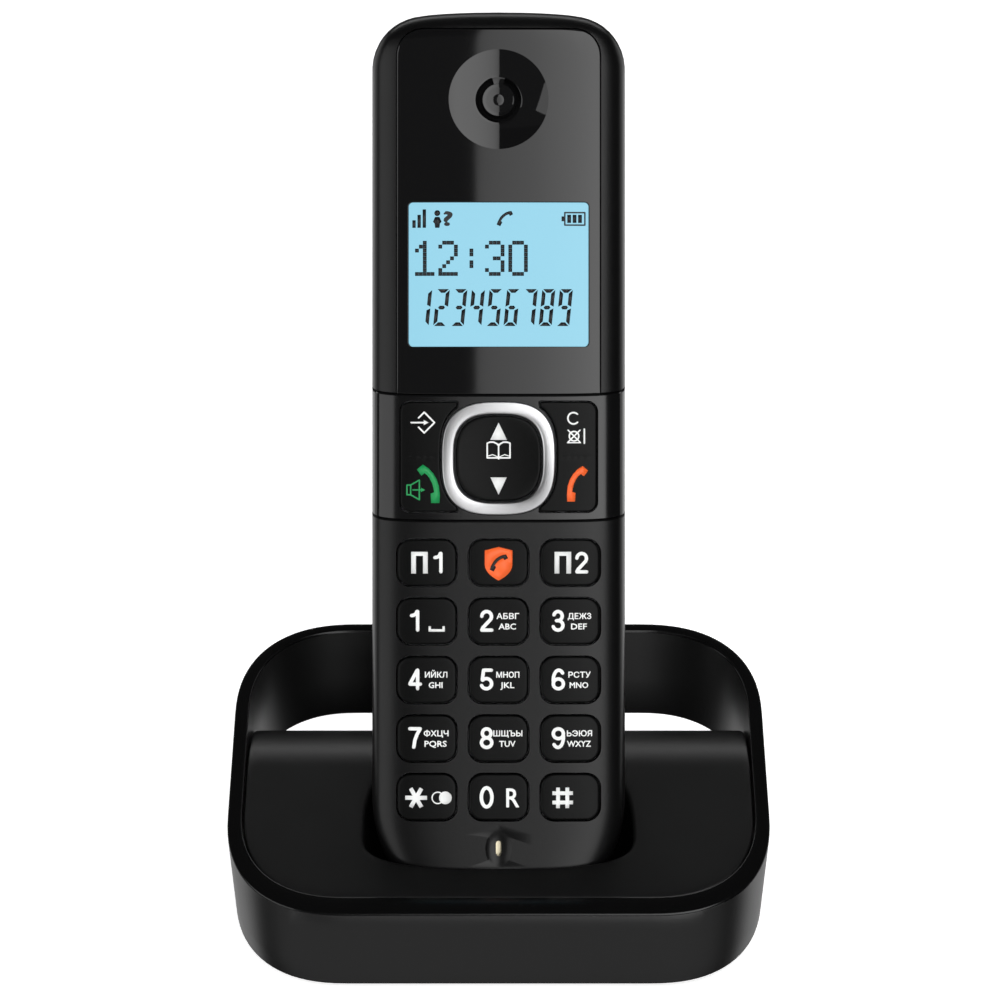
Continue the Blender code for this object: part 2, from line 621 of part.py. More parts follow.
def cap_mesh(outline, inset_outline, centre, proud=KEY_PROUD):
    """A key: straight sides, a chamfered top edge and a top that follows the handset's face."""
    edge = proud * 0.5
    base = [(x, KEY_FOOT, z) for x, z in outline]
    rim = [(x, face_depth(x) - proud + edge, z) for x, z in outline]
    top = [(x, face_depth(x) - proud, z) for x, z in inset_outline]
    bm = loft([base, rim, top])
    return moved(bm, -centre[0], 0, -centre[1])


def keypad_keys(frame):
    inset = 0.0004
    for name, x, z in key_centres():
        outline = rounded_rectangle(KEY_HALF_WIDTH, KEY_HALF_HEIGHT, KEY_RADIUS, 3, (x, z))
        inner = rounded_rectangle(KEY_HALF_WIDTH - inset, KEY_HALF_HEIGHT - inset, KEY_RADIUS - inset, 3, (x, z))
        place(add_object(f"key_{name}", cap_mesh(outline, inner, (x, z)), "key_black"), frame, (x, 0, z))


def rocker_keys(frame):
    for side, name in ((-1, "left"), (1, "right")):
        proud = 0.0003
        outline = side_key_outline(side, 0.0)
        shape = [(x, z) for x, z in outline]
        key = cutter(cap_mesh(shape, [(x * 0.997, z) for x, z in shape], (0, 0), proud))
        key.name = f"rocker_key_{name}"
        boolean(key, prism(superellipse(NAV_RING_OUT + 0.0004, NAV_EXPONENT, 32, (0, NAV_CENTRE)), -0.005, 0.005, "y"))
        key.data.transform(Matrix.Translation((0, -HINGE_DEPTH, -NAV_CENTRE)))
        key.data.materials.clear()
        key.data.materials.append(material("key_black"))
        place(key, frame, (0, HINGE_DEPTH, NAV_CENTRE))
    pad = []
    for half, y in ((NAV_PAD, KEY_FOOT), (NAV_PAD, -0.0001), (NAV_PAD - 0.0005, -0.0004), (NAV_PAD * 0.5, 0.0)):
        pad.append([(x, y - HINGE_DEPTH, z) for x, z in superellipse(half, NAV_EXPONENT, 28)])
    place(add_object("nav_key", loft(pad), "key_black"), frame, (0, HINGE_DEPTH, NAV_CENTRE))


def nav_ring(frame):
    middle = (NAV_RING_IN + NAV_RING_OUT) / 2
    section = (
        (NAV_RING_OUT, NAV_RING_FOOT), (NAV_RING_OUT, -0.0002), (middle + 0.0004, -NAV_RING_PROUD),
        (middle - 0.0002, -NAV_RING_PROUD), (NAV_RING_IN, -0.0003), (NAV_RING_IN, NAV_RING_FOOT),
    )
    loops = [[(x, y, z) for x, z in superellipse(half, NAV_EXPONENT, 36)] for half, y in section]
    place(add_object("nav_ring", loft(loops, ring=True), "silver"), frame, (0, 0, NAV_CENTRE))


def charge_pad_mesh(side, grow):
    """A level metal pad in the slanted foot of the handset."""
    depth, half_x, half_y, thick = 0.0050, 0.0016, 0.0020, 0.0008
    pad = box((-half_x - grow, -half_y - grow, -grow * 3), (half_x + grow, half_y + grow, thick + grow))
    return moved(pad, side * CONTACT_X, depth, depth * math.tan(LEAN), LEAN)


def rear_housing(frame):
    housing = halves(cutter(handset_form()), FACE_DEPTH + GAP / 2, 0.05)
    housing.name = "rear_housing"
    boolean(housing, handset_form(HANDSET_WALL))
    middle = (DOOR_LOW + DOOR_HIGH) / 2
    half = (DOOR_HIGH - DOOR_LOW) / 2
    rim = 0.0013
    tub = cutter(prism(rounded_rectangle(DOOR_HALF_WIDTH + rim, half + rim, 0.003, 2, (0, middle)), TUB_FLOOR - 0.0013, 0.030, "y"))
    boolean(tub, handset_form(DOOR_WALL + GAP), "INTERSECT")
    door_space = rounded_rectangle(DOOR_HALF_WIDTH + GAP, half + GAP, 0.003, 3, (0, middle))
    boolean(housing, prism(door_space, 0.0150, 0.030, "y"))
    boolean(housing, tub, "UNION")
    tub_middle, tub_half = (TUB_LOW + TUB_HIGH) / 2, (TUB_HIGH - TUB_LOW) / 2
    boolean(housing, prism(rounded_rectangle(TUB_HALF_WIDTH, tub_half, 0.001, 2, (0, tub_middle)), TUB_FLOOR, 0.030, "y"))
    for i in range(5):
        slot = rounded_rectangle(0.0055, 0.0005, 0.0004, 2, (0, 0.1150 + i * 0.0022))
        boolean(housing, prism(slot, 0.0170, 0.030, "y"))
    for x in (-0.0130, 0.0130):
        boolean(housing, moved(revolve([(0.0030, 0.0094), (0.0030, 0.0200)], 12, "y"), x, 0, 0.1430), "UNION")
        well = [(0.0013, 0.0080), (0.0013, 0.0188), (0.0023, 0.0188), (0.0023, 0.0300)]
        boolean(housing, moved(revolve(well, 12, "y"), x, 0, 0.1430))
    return place(housing, frame)


def battery_door(frame):
    middle, half = (DOOR_LOW + DOOR_HIGH) / 2, (DOOR_HIGH - DOOR_LOW) / 2
    door = cutter(prism(rounded_rectangle(DOOR_HALF_WIDTH, half, 0.0027, 3, (0, middle)), 0.0150, 0.030, "y"))
    door.name = "battery_door"
    boolean(door, handset_form(), "INTERSECT")
    boolean(door, handset_form(DOOR_WALL))
    # a thumb ridge near the lower end
    ridge_y = FACE_DEPTH + BACK_DEPTH
    for i in range(3):
        groove = box((-0.0060, ridge_y - 0.0004, DOOR_LOW + 0.0050 + i * 0.0022), (0.0060, ridge_y + 0.001, DOOR_LOW + 0.0060 + i * 0.0022))
        boolean(door, groove)
    door.data.transform(Matrix.Translation((0, -ridge_y, -middle)))
    return place(door, frame, (0, ridge_y, middle))


def battery_parts(frame):
    for side, name in ((-1, "left"), (1, "right")):
        nub = 0.0008
        profile = [
            (CELL_RADIUS - 0.0005, 0.0), (CELL_RADIUS, 0.0005), (CELL_RADIUS, CELL_LENGTH - nub - 0.0005),
            (CELL_RADIUS - 0.0005, CELL_LENGTH - nub), (0.0018, CELL_LENGTH - nub), (0.0018, CELL_LENGTH),
        ]
        cell = add_object(f"battery_cell_{name}", revolve(profile, 20), "cell_wrap")
        place(cell, frame, (side * CELL_X, CELL_Y, CELL_LOW))
        plate_z = CELL_LOW + CELL_LENGTH + GAP
        plate = add_object(f"battery_plate_{name}", box((-0.0042, -0.0042, 0), (0.0042, 0.0042, 0.0004)), "contact_metal")
        place(plate, frame, (side * CELL_X, CELL_Y, plate_z))
        place(battery_spring(f"battery_spring_{name}"), frame, (side * CELL_X, CELL_Y, TUB_LOW + GAP))


def battery_spring(name):
    """A conical coil that narrows from the compartment's wall to the cell."""
    wire, turns, steps = 0.00018, 2.5, 26
    height = CELL_LOW - TUB_LOW - 2 * GAP - 2 * wire
    curve = bpy.data.curves.new(name, "CURVE")
    curve.dimensions = "3D"
    curve.bevel_depth = wire
    curve.bevel_resolution = 0
    curve.use_fill_caps = True
    spline = curve.splines.new("POLY")
    spline.points.add(steps)
    for i, point in enumerate(spline.points):
        share = i / steps
        t = 2 * math.pi * turns * share
        r = 0.0034 - 0.0016 * share
        point.co = (r * math.cos(t), r * math.sin(t), wire + height * share, 1)
    obj = bpy.data.objects.new(name, curve)
    curve.materials.append(material("contact_metal"))
    bpy.context.scene.collection.objects.link(obj)
    return obj


def handset_electronics(frame):
    board = rounded_rectangle(0.0180, 0.0605, 0.0060, 2, (0, 0.0755))
    place(add_object("handset_circuit_board", prism(board, 0.0060, 0.0072, "y"), "circuit_green"), frame)
    middle, half = (DISPLAY_LOW + DISPLAY_HIGH) / 2, (DISPLAY_HIGH - DISPLAY_LOW) / 2
    panel = rounded_rectangle(DISPLAY_HALF_WIDTH + 0.0004, half + 0.0018, 0.0006, 1, (0, middle))
    place(add_object("display_panel", prism(panel, 0.0034, 0.0056, "y"), "lcd_blue"), frame)
    mat = rounded_rectangle(0.0180, 0.0410, 0.0030, 2, (0, 0.0565))
    place(add_object("keypad_mat", prism(mat, MAT_FRONT, MAT_BACK, "y"), "silicone"), frame)
    ear = [(0.0085, 0.0034), (0.0088, 0.0038), (0.0088, 0.0068), (0.0070, 0.0076)]
    place(add_object("earpiece_speaker", revolve(ear, 20, "y"), "contact_metal"), frame, (0, 0, DISH_CENTRE))
    loud = [(0.0070, 0.0140), (0.0095, 0.0155), (0.0095, 0.0186), (0.0090, 0.0190)]
    place(add_object("loudspeaker", revolve(loud, 20, "y"), "contact_metal"), frame, (0, 0, 0.1194))
    mic = [(0.0018, 0.0030), (0.0020, 0.0032), (0.0020, 0.0050)]
    place(add_object("microphone", revolve(mic, 14, "y"), "contact_metal"), frame, (0, 0, 0.0130))
    for side, name in ((-1, "left"), (1, "right")):
        place(add_object(f"charge_pad_{name}", charge_pad_mesh(side, 0.0), "contact_metal"), frame)
        screw = add_object(f"handset_screw_{name}", screw_mesh(0.0019, 0.0012, 0.0010, 0.0140), "screw_steel")
        # the head faces the back and the shank runs towards the face
        place(screw, frame, (side * 0.0130, 0.0203, 0.1430), math.pi / 2)


# ---------------------------------------------------------------- assembly
def main():
    clear_scene()
    base = empty("base_frame", (0, BASE_FRONT_Y, 0))
    for make in (base_hoop, cradle_deck, bottom_cover, base_feet, base_screws,
                 base_electronics, page_button, charge_contacts):
        make(base)
    handset = empty("handset_frame", (0, BASE_FRONT_Y + HANDSET_FRONT, HANDSET_FOOT_Z), -LEAN)
    for make in (front_housing, nav_bezel, display_window, keypad_keys, rocker_keys, nav_ring,
                 rear_housing, battery_door, battery_parts, handset_electronics):
        make(handset)
    for obj in bpy.data.objects:
        if obj.type == "MESH":
            obj.data.shade_smooth()
            obj.data.set_sharp_from_angle(angle=math.radians(35))


main()
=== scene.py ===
"""Looks for a cordless telephone in its charging base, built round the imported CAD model. Metres, +Z up."""

from math import acos, atan, copysign, cos, degrees, dist, hypot, pi, radians, sin, sqrt, tan

import bmesh
import bpy
from mathutils import Matrix, Vector
from mathutils.geometry import delaunay_2d_cdt


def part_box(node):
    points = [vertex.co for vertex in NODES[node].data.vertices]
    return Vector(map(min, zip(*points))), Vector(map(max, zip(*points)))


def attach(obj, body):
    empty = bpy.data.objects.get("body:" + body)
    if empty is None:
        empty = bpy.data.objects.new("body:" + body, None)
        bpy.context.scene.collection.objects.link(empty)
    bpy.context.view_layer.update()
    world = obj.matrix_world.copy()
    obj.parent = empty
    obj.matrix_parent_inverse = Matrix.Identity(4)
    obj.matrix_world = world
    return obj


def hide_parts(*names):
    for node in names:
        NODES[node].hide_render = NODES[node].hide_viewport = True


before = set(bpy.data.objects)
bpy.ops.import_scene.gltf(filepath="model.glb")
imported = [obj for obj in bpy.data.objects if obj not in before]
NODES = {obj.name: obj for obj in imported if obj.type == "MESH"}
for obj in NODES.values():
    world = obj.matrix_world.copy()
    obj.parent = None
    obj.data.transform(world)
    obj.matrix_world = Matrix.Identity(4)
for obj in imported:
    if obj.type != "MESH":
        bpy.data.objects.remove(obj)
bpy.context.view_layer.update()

# ---------------------------------------------------------------- the model's own dimensions
FRONT_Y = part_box("base_hoop")[0].y
HOOP_HALF_WIDTH, HOOP_DEPTH, HOOP_RADIUS, HOOP_EXPONENT = 0.0505, 0.0700, 0.0230, 2.4
HOOP_HEIGHT, HOOP_FOOT = 0.0154, 0.0008
HOOP_SLOPE, HOOP_DRAFT = tan(radians(22.4)), tan(radians(5.0))
HOOP_WALLS = (0.0026, 0.0040, 0.0019)  # at the sides, front and back
DECK_DROP, CREST_DEPTH, CREST_FRONT, CREST_REAR, CREST_SHIFT = 0.0006, 0.0462, 0.0220, 0.0045, -0.00267
BODY_BOTTOM, BODY_BACK, BACK_WALL_TOP = 0.0033, 0.0600, 0.0170
GAP = 0.0003
LEAN = radians(20.0)
LENGTH, HALF_WIDTH, FACE_DEPTH, BACK_DEPTH = 0.1670, 0.0235, 0.0090, 0.0135
FACE_EXPONENT, BACK_EXPONENT = 5.0, 2.8
TOP_RADIUS, FOOT_CORNER_RADIUS, FOOT_CORNER_TOP, TOP_CROWN = 0.0100, 0.0250, 0.0220, 0.0006
BEVEL_TOP_FACE, BEVEL_TOP_BACK, BEVEL_FOOT = 0.0052, 0.0080, 0.0015
HANDSET_FRONT, HANDSET_FOOT_Z = 0.0088, 0.0110
SEAM_SLOPE, SEAM_LOW, SEAM_HIGH = 0.30, 0.0732, 0.0965
POCKET_HALF_WIDTH, POCKET_CENTRE, POCKET_FRONT, POCKET_BACK, POCKET_FLOOR = 0.0249, 0.0055, 0.0061, 0.0176, 0.0104
POCKET_WALL_TOP = 0.004  # depth under the deck where the pocket's straight wall ends
KEY_COLUMNS, KEY_FIRST_ROW, KEY_PITCH = (-0.0132, 0.0, 0.0132), 0.0224, 0.0108
KEY_HALF_WIDTH, KEY_HALF_HEIGHT, KEY_RADIUS, KEY_PROUD, KEY_FOOT = 0.00545, 0.00425, 0.0025, 0.00040, 0.0032
KEY_GAP = 0.00028
KEY_ROWS = (
    ("star", "zero", "hash"),
    ("seven", "eight", "nine"),
    ("four", "five", "six"),
    ("one", "two", "three"),
    ("memory_one", "call_block", "memory_two"),
)
NAV_CENTRE, NAV_PAD, NAV_RING_IN, NAV_RING_OUT, NAV_EXPONENT = 0.0848, 0.00785, 0.0082, 0.0104, 2.9
NAV_PAD_RISE = 0.00045
ROCKER_CENTRE, ROCKER_HALF_HEIGHT, ROCKER_PROUD = 0.0851, 0.0101, 0.00015
NAV_PAD_BACK, ROCKER_BACK = 0.0031, 0.0026
WINDOW_HALF_WIDTH, WINDOW_TOP, WINDOW_RADIUS, WINDOW_SEAT = 0.0188, 0.1641, 0.0050, 0.0030
DISPLAY_HALF_WIDTH, DISPLAY_LOW, DISPLAY_HIGH = 0.0166, 0.1054, 0.1320
DISH_CENTRE, DISH_RADIUS, DISH_DEPTH = 0.1510, 0.0092, 0.0015
DOOR_HALF_WIDTH, DOOR_LOW, DOOR_HIGH, DOOR_WALL = 0.0145, 0.0380, 0.0980, 0.0016
DOOR_MIDDLE = (DOOR_LOW + DOOR_HIGH) / 2
TUB_HALF_WIDTH, TUB_LOW, TUB_HIGH, TUB_FLOOR = 0.0122, 0.0410, 0.0910, 0.0095
PAGE_BUTTON_Z, CONTACT_X = 0.0110, 0.0065
LINE_JACK = (-0.0220, -0.0096, 0.0061, 0.0159)  # its left, right, lower and upper sides
POWER_JACK = (0.0090, 0.0180, 0.0061, 0.0151)
MICROPHONE_Z = 0.0129
THROUGH_FACE = (-0.010, 0.0060)  # from where to where a cutter reaches through the face's wall
HANDSET = Matrix.Translation((0, FRONT_Y + HANDSET_FRONT, HANDSET_FOOT_Z)) @ Matrix.Rotation(-LEAN, 4, "X")
BASE = Matrix.Translation((0, FRONT_Y, 0))
INK = 0.00003  # thickness of printed marks
SUPPORT = 0.00013  # width of the flat strip inside a rounded edge


# ---------------------------------------------------------------- materials
def settle(made, **values):
    """Gives a node's inputs and settings their values. Another node's socket is linked."""
    for name, value in values.items():
        label = name.replace("_", " ")
        if isinstance(value, bpy.types.NodeSocket):
            made.id_data.links.new(value, made.inputs[label])
        elif label in made.inputs:
            made.inputs[label].default_value = value
        else:
            setattr(made, name, value)
    return made


def node(tree, kind, output=None, **values):
    """A shader node, or one of its outputs."""
    made = settle(tree.nodes.new("ShaderNode" + kind), **values)
    return made.outputs[output] if output else made


def calc(tree, operation, *values):
    """A Math node's result."""
    made = node(tree, "Math", operation=operation)
    for socket, value in zip(made.inputs, values):
        if isinstance(value, bpy.types.NodeSocket):
            tree.links.new(value, socket)
        else:
            socket.default_value = value
    return made.outputs["Value"]


def ramp(tree, factor, dark, bright):
    made = node(tree, "ValToRGB", Fac=factor)
    for stop, colour in zip(made.color_ramp.elements, (dark, bright)):
        stop.color = (*colour, 1)
    return made.outputs["Color"]


def new_material(name):
    made = bpy.data.materials.new(name)
    made.use_nodes = True
    return made, made.node_tree, made.node_tree.nodes["Principled BSDF"]


def plastic(name, colour, roughness, grain=0.0, grain_scale=2500.0, mottling=0.03, coat=0.0, specular=0.5):
    """Moulded plastic: a fine spark-eroded grain and a slow change in its gloss."""
    made, tree, shader = new_material(name)
    place = node(tree, "TexCoord", "Object")
    slow = node(tree, "TexNoise", "Fac", Vector=place, Scale=90.0, Detail=3.0)
    gloss = node(tree, "MapRange", "Result", Value=slow, To_Min=roughness - mottling, To_Max=roughness + mottling)
    tone = ramp(tree, slow, [c * 0.92 for c in colour], [c * 1.08 for c in colour])
    settle(shader, Specular_IOR_Level=specular, Coat_Weight=coat, Coat_Roughness=0.04, Roughness=gloss, Base_Color=tone)
    if grain:
        fine = node(tree, "TexNoise", "Fac", Vector=place, Scale=grain_scale, Detail=2.0)
        settle(shader, Normal=node(tree, "Bump", "Normal", Height=fine, Strength=grain, Distance=0.00004))
    return made


def metal(name, colour, roughness, stretch=(1, 1, 1), scale=1500.0, strength=0.15):
    """Metal with fine parallel scratches, drawn out along one direction."""
    made = plastic(name, colour, roughness)
    tree = made.node_tree
    along = node(tree, "Mapping", "Vector", Vector=node(tree, "TexCoord", "Object"), Scale=stretch)
    scratches = node(tree, "TexNoise", "Fac", Vector=along, Scale=scale, Detail=4.0)
    bump = node(tree, "Bump", "Normal", Height=scratches, Strength=strength, Distance=0.00005)
    settle(tree.nodes["Principled BSDF"], Metallic=1.0, Normal=bump)
    return made


def ring_metal_painted_sheen():
    """Satin metal with a painted sheen: its colour runs through two bright and two dark sectors round the ring's
    middle, painted highlights and shade that stand in for the ring's reflections.
    """
    made = metal("brushed_silver_painted_sheen", (0.62, 0.62, 0.63), 0.36, stretch=(8, 1, 1), scale=900.0, strength=0.10)
    tree = made.node_tree
    split = node(tree, "SeparateXYZ", Vector=node(tree, "TexCoord", "Object"))
    middle = HANDSET @ Vector((0, 0, NAV_CENTRE))
    height = calc(tree, "MULTIPLY_ADD", split.outputs["Z"], 1 / cos(LEAN), -middle.z / cos(LEAN))
    # painted sheen: the base colour brightens and darkens with the angle round the ring's middle, in place of reflected
    # light
    angle = calc(tree, "ARCTAN2", height, split.outputs["X"])
    twice = calc(tree, "MULTIPLY_ADD", angle, 2.0, -2 * radians(50))
    painted_sheen_wave = calc(tree, "MULTIPLY_ADD", calc(tree, "SINE", angle), 0.32, calc(tree, "COSINE", twice))
    share = node(tree, "MapRange", "Result", Value=painted_sheen_wave, From_Min=-1.2, From_Max=1.2)
    tone = ramp(tree, share, (0.32, 0.32, 0.325), (0.78, 0.78, 0.79))
    settle(tree.nodes["Principled BSDF"], Base_Color=tone)
    return made


def display_film():
    """The lit display: pale blue, with a glow of its own."""
    made = plastic("display_film", (0.04, 0.08, 0.10), 0.30, mottling=0.02, specular=0.2)
    settle(made.node_tree.nodes["Principled BSDF"], Emission_Color=(0.30, 0.635, 0.79, 1), Emission_Strength=0.92)
    return made


SATIN = plastic("satin_black_plastic", (0.0070, 0.0070, 0.0073), 0.38, grain=0.25)
BASE_PLASTIC = plastic("base_black_plastic", (0.0025, 0.0025, 0.0026), 0.38, grain=0.22)
KEYPAD = plastic("keypad_front_plastic", (0.0022, 0.0022, 0.0023), 0.31, grain=0.20, specular=0.29)
GLOSS = plastic("piano_black", (0.0036, 0.0036, 0.0038), 0.035, mottling=0.012, specular=0.5)
RIM_GLOSS = plastic("rim_black", (0.0020, 0.0020, 0.0021), 0.16, mottling=0.02, specular=0.4)
BAND_GLOSS = plastic("band_black", (0.0030, 0.0030, 0.0032), 0.15, mottling=0.02, specular=0.5)
KEYCAP = plastic("keycap_black", (0.0015, 0.0016, 0.0016), 0.38, grain=0.15, specular=0.13)
RUBBER = plastic("foot_rubber", (0.02, 0.02, 0.02), 0.80, grain=0.5, grain_scale=1200.0)
SILICONE = plastic("keypad_silicone", (0.20, 0.20, 0.21), 0.65, grain=0.2)
BOARD = plastic("circuit_board", (0.012, 0.10, 0.035), 0.35, grain=0.1)
CELL = plastic("cell_wrap", (0.05, 0.22, 0.09), 0.30, coat=0.3)
SILVER_WITH_PAINTED_SHEEN = ring_metal_painted_sheen()
CONTACT = metal("plated_contact", (0.80, 0.72, 0.52), 0.28)
STEEL = metal("screw_steel", (0.45, 0.45, 0.46), 0.35)
WHITE_INK = plastic("ink_white", (0.82, 0.83, 0.82), 0.50)
GREEN_INK = plastic("ink_green", (0.005, 0.27, 0.070), 0.50)
ORANGE_INK = plastic("ink_orange", (0.92, 0.13, 0.022), 0.50)
BLACK_INK = plastic("ink_black", (0.006, 0.007, 0.009), 0.45)
LCD = display_film()


# ---------------------------------------------------------------- mesh tools
def close_gaps(bm):
    """Closes the slits that a Boolean leaves between points that nearly coincide."""
    if not any(e.is_boundary for e in bm.edges):
        return
    bmesh.ops.remove_doubles(bm, verts=bm.verts, dist=1e-6)
    for _ in range(3):
        open_edges = [e for e in bm.edges if e.is_boundary]
        if not open_edges:
            break
        bmesh.ops.holes_fill(bm, edges=open_edges, sides=0)
    # three corners in one line, which holes_fill leaves open
    for edge in [e for e in bm.edges if e.is_boundary]:
        beside = [e for v in edge.verts for e in v.link_edges if e.is_boundary and e is not edge]
        corners = {v for e in beside + [edge] for v in e.verts}
        if edge.is_boundary and len(beside) == 2 and len(corners) == 3:
            bm.faces.new(sorted(corners, key=lambda v: v.index))


def new_object(name, data):
    obj = bpy.data.objects.new(name, data)
    bpy.context.scene.collection.objects.link(obj)
    return obj


def mesh_object(name, bm):
    """An object with the bmesh's shape. The bmesh is used up."""
    mesh = bpy.data.meshes.new(name)
    bm.to_mesh(mesh)
    bm.free()
    return new_object(name, mesh)


def finish_mesh(name, bm, material, body, replaces=(), matrix=None, sharp=35.0):
    """Makes a piece of the visual model, smooth but for edges that turn more than sharp degrees."""
    close_gaps(bm)
    bmesh.ops.recalc_face_normals(bm, faces=bm.faces)
    if matrix is not None:
        bmesh.ops.transform(bm, matrix=matrix, verts=bm.verts)
    obj = mesh_object(name, bm)
    mesh = obj.data
    mesh.shade_smooth()
    mesh.set_sharp_from_angle(angle=radians(sharp))
    for edge in mesh.edges:
        if edge.use_seam:
            edge.use_edge_sharp = True
    mesh.materials.append(material)
    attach(obj, body)
    if replaces:
        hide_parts(*replaces)
    return obj


def skin(bm, loops, ring=False):
    """Quads between closed rows of points, and back to the first row if ring is set. Returns the rows' vertices."""
    rows = [[bm.verts.new(point) for point in loop] for loop in loops]
    for low, high in zip(rows, rows[1:] + rows[:1] if ring else rows[1:]):
        for i in range(len(low)):
            j = (i + 1) % len(low)
            corners = (low[i], low[j], high[j], high[i])
            if len({tuple(v.co) for v in corners}) > 2:
                bm.faces.new(corners)
    return rows


def loft(loops, ring=False):
    """A closed solid through rows of points."""
    bm = bmesh.new()
    rows = skin(bm, loops, ring)
    if not ring:
        bm.faces.new(rows[0])
        bm.faces.new(rows[-1])
    return bm


def prism_y(outline, low, high):
    return loft([[(x, y, z) for x, z in outline] for y in (low, high)])


def prism_z(outline, low, high):
    return loft([[(x, y, z) for x, y in outline] for z in (low, high)])


def join(*parts):
    """Several closed bmeshes as one."""
    whole = bmesh.new()
    for part in parts:
        mesh = bpy.data.meshes.new("part")
        part.to_mesh(mesh)
        part.free()
        whole.from_mesh(mesh)
        bpy.data.meshes.remove(mesh)
    return whole


def cut(bm, tool, operation="DIFFERENCE"):
    """bm after a Boolean with tool. Both are used up."""
    objects = []
    for part in (bm, tool):
        bmesh.ops.recalc_face_normals(part, faces=part.faces)
        objects.append(mesh_object("boolean", part))
    modifier = objects[0].modifiers.new("cut", "BOOLEAN")
    modifier.operation, modifier.solver, modifier.object = operation, "EXACT", objects[1]
    bpy.context.view_layer.update()
    graph = bpy.context.evaluated_depsgraph_get()
    result = bmesh.new()
    result.from_mesh(objects[0].evaluated_get(graph).data)
    for obj in objects:
        mesh = obj.data
        bpy.data.objects.remove(obj)
        bpy.data.meshes.remove(mesh)
    return result


def oval(x, z, rx, rz, start=0.0, end=360.0, count=26):
    """Points along an ellipse between two angles in degrees."""
    turns = [radians(start + (end - start) * i / count) for i in range(count + 1)]
    return [(x + rx * cos(t), z + rz * sin(t)) for t in turns]


def arc(x, z, radius, start, end, count=12):
    return oval(x, z, radius, radius, start, end, count)


def circle(x, z, radius, count=28):
    return arc(x, z, radius, 0, 360, count)[:-1]


def bar(x0, x1, z0, z1):
    return [(x0, z0), (x1, z0), (x1, z1), (x0, z1)]


def quarter_turns(quarter=0, count=8):
    return [pi / 2 * (quarter + i / count) for i in range(count + 1)]


def rounded_rectangle(half_x, half_z, radius, segments=8, centre=(0.0, 0.0), edge=0.0):
    """An outline, anticlockwise. Its straight sides are split into steps of edge if that is given."""
    points = []
    for quarter, (sx, sz) in enumerate(((1, 1), (-1, 1), (-1, -1), (1, -1))):
        x, z = centre[0] + sx * (half_x - radius), centre[1] + sz * (half_z - radius)
        points += arc(x, z, radius, 90 * quarter, 90 * (quarter + 1), segments)
    return split_long(points, edge) if edge else points


def split_long(points, edge):
    made = []
    for a, b in zip(points, points[1:] + points[:1]):
        parts = max(1, round(dist(a, b) / edge))
        made += [(a[0] + (b[0] - a[0]) * i / parts, a[1] + (b[1] - a[1]) * i / parts) for i in range(parts)]
    return made


def bent(value, exponent):
    """A sine or cosine as a superellipse of that exponent has it."""
    return copysign(abs(value) ** (2 / exponent), value)


def superellipse(half, exponent, count, centre=(0.0, 0.0)):
    turns = [2 * pi * (i + 0.5) / count for i in range(count)]
    x, z = centre
    return [(x + half * bent(cos(t), exponent), z + half * bent(sin(t), exponent)) for t in turns]


def inside(x, z, loop):
    found = False
    for (ax, az), (bx, bz) in zip(loop, loop[1:] + loop[:1]):
        if (az > z) != (bz > z) and x < (bx - ax) * (z - az) / (bz - az) + ax:
            found = not found
    return found


def offset(loop, distance):
    """The loop moved to its left by distance, which is inwards on an anticlockwise loop."""
    made = []
    count = len(loop)
    for i, (x, z) in enumerate(loop):
        (ax, az), (bx, bz) = loop[i - 1], loop[(i + 1) % count]
        tx, tz = bx - ax, bz - az
        length = hypot(tx, tz) or 1.0
        made.append((x - tz / length * distance, z + tx / length * distance))
    return made


def triangulate(loops, extra=(), kept=None, merge=1e-7):
    """Triangles over the area inside the loops by the even-odd rule, or where kept(x, z) holds: (points, triangles)."""
    kept = kept or (lambda x, z: sum(inside(x, z, loop) for loop in loops) % 2)
    points, edges = [], []
    for loop in loops:
        start = len(points)
        points += [Vector(p) for p in loop]
        edges += [(start + i, start + (i + 1) % len(loop)) for i in range(len(loop))]
    points += [Vector(p) for p in extra]
    out, _, faces, _, _, _ = delaunay_2d_cdt(points, edges, [], 0, merge)
    return out, [f for f in faces if kept(sum(out[i].x for i in f) / 3, sum(out[i].y for i in f) / 3)]


def fill_sheet(bm, rings, extra, flat, raised):
    """Triangles between rings of vertices. flat is a vertex's place in the plane, raised a new point's place."""
    known = {tuple(round(c, 7) for c in flat(v.co)): v for ring in rings for v in ring}
    points, triangles = triangulate([[flat(v.co) for v in ring] for ring in rings], extra)
    made = [known.get((round(p.x, 7), round(p.y, 7))) or bm.verts.new(raised(p.x, p.y)) for p in points]
    for triangle in triangles:
        corners = [made[i] for i in triangle]
        if len(set(corners)) == 3:
            bm.faces.new(corners)


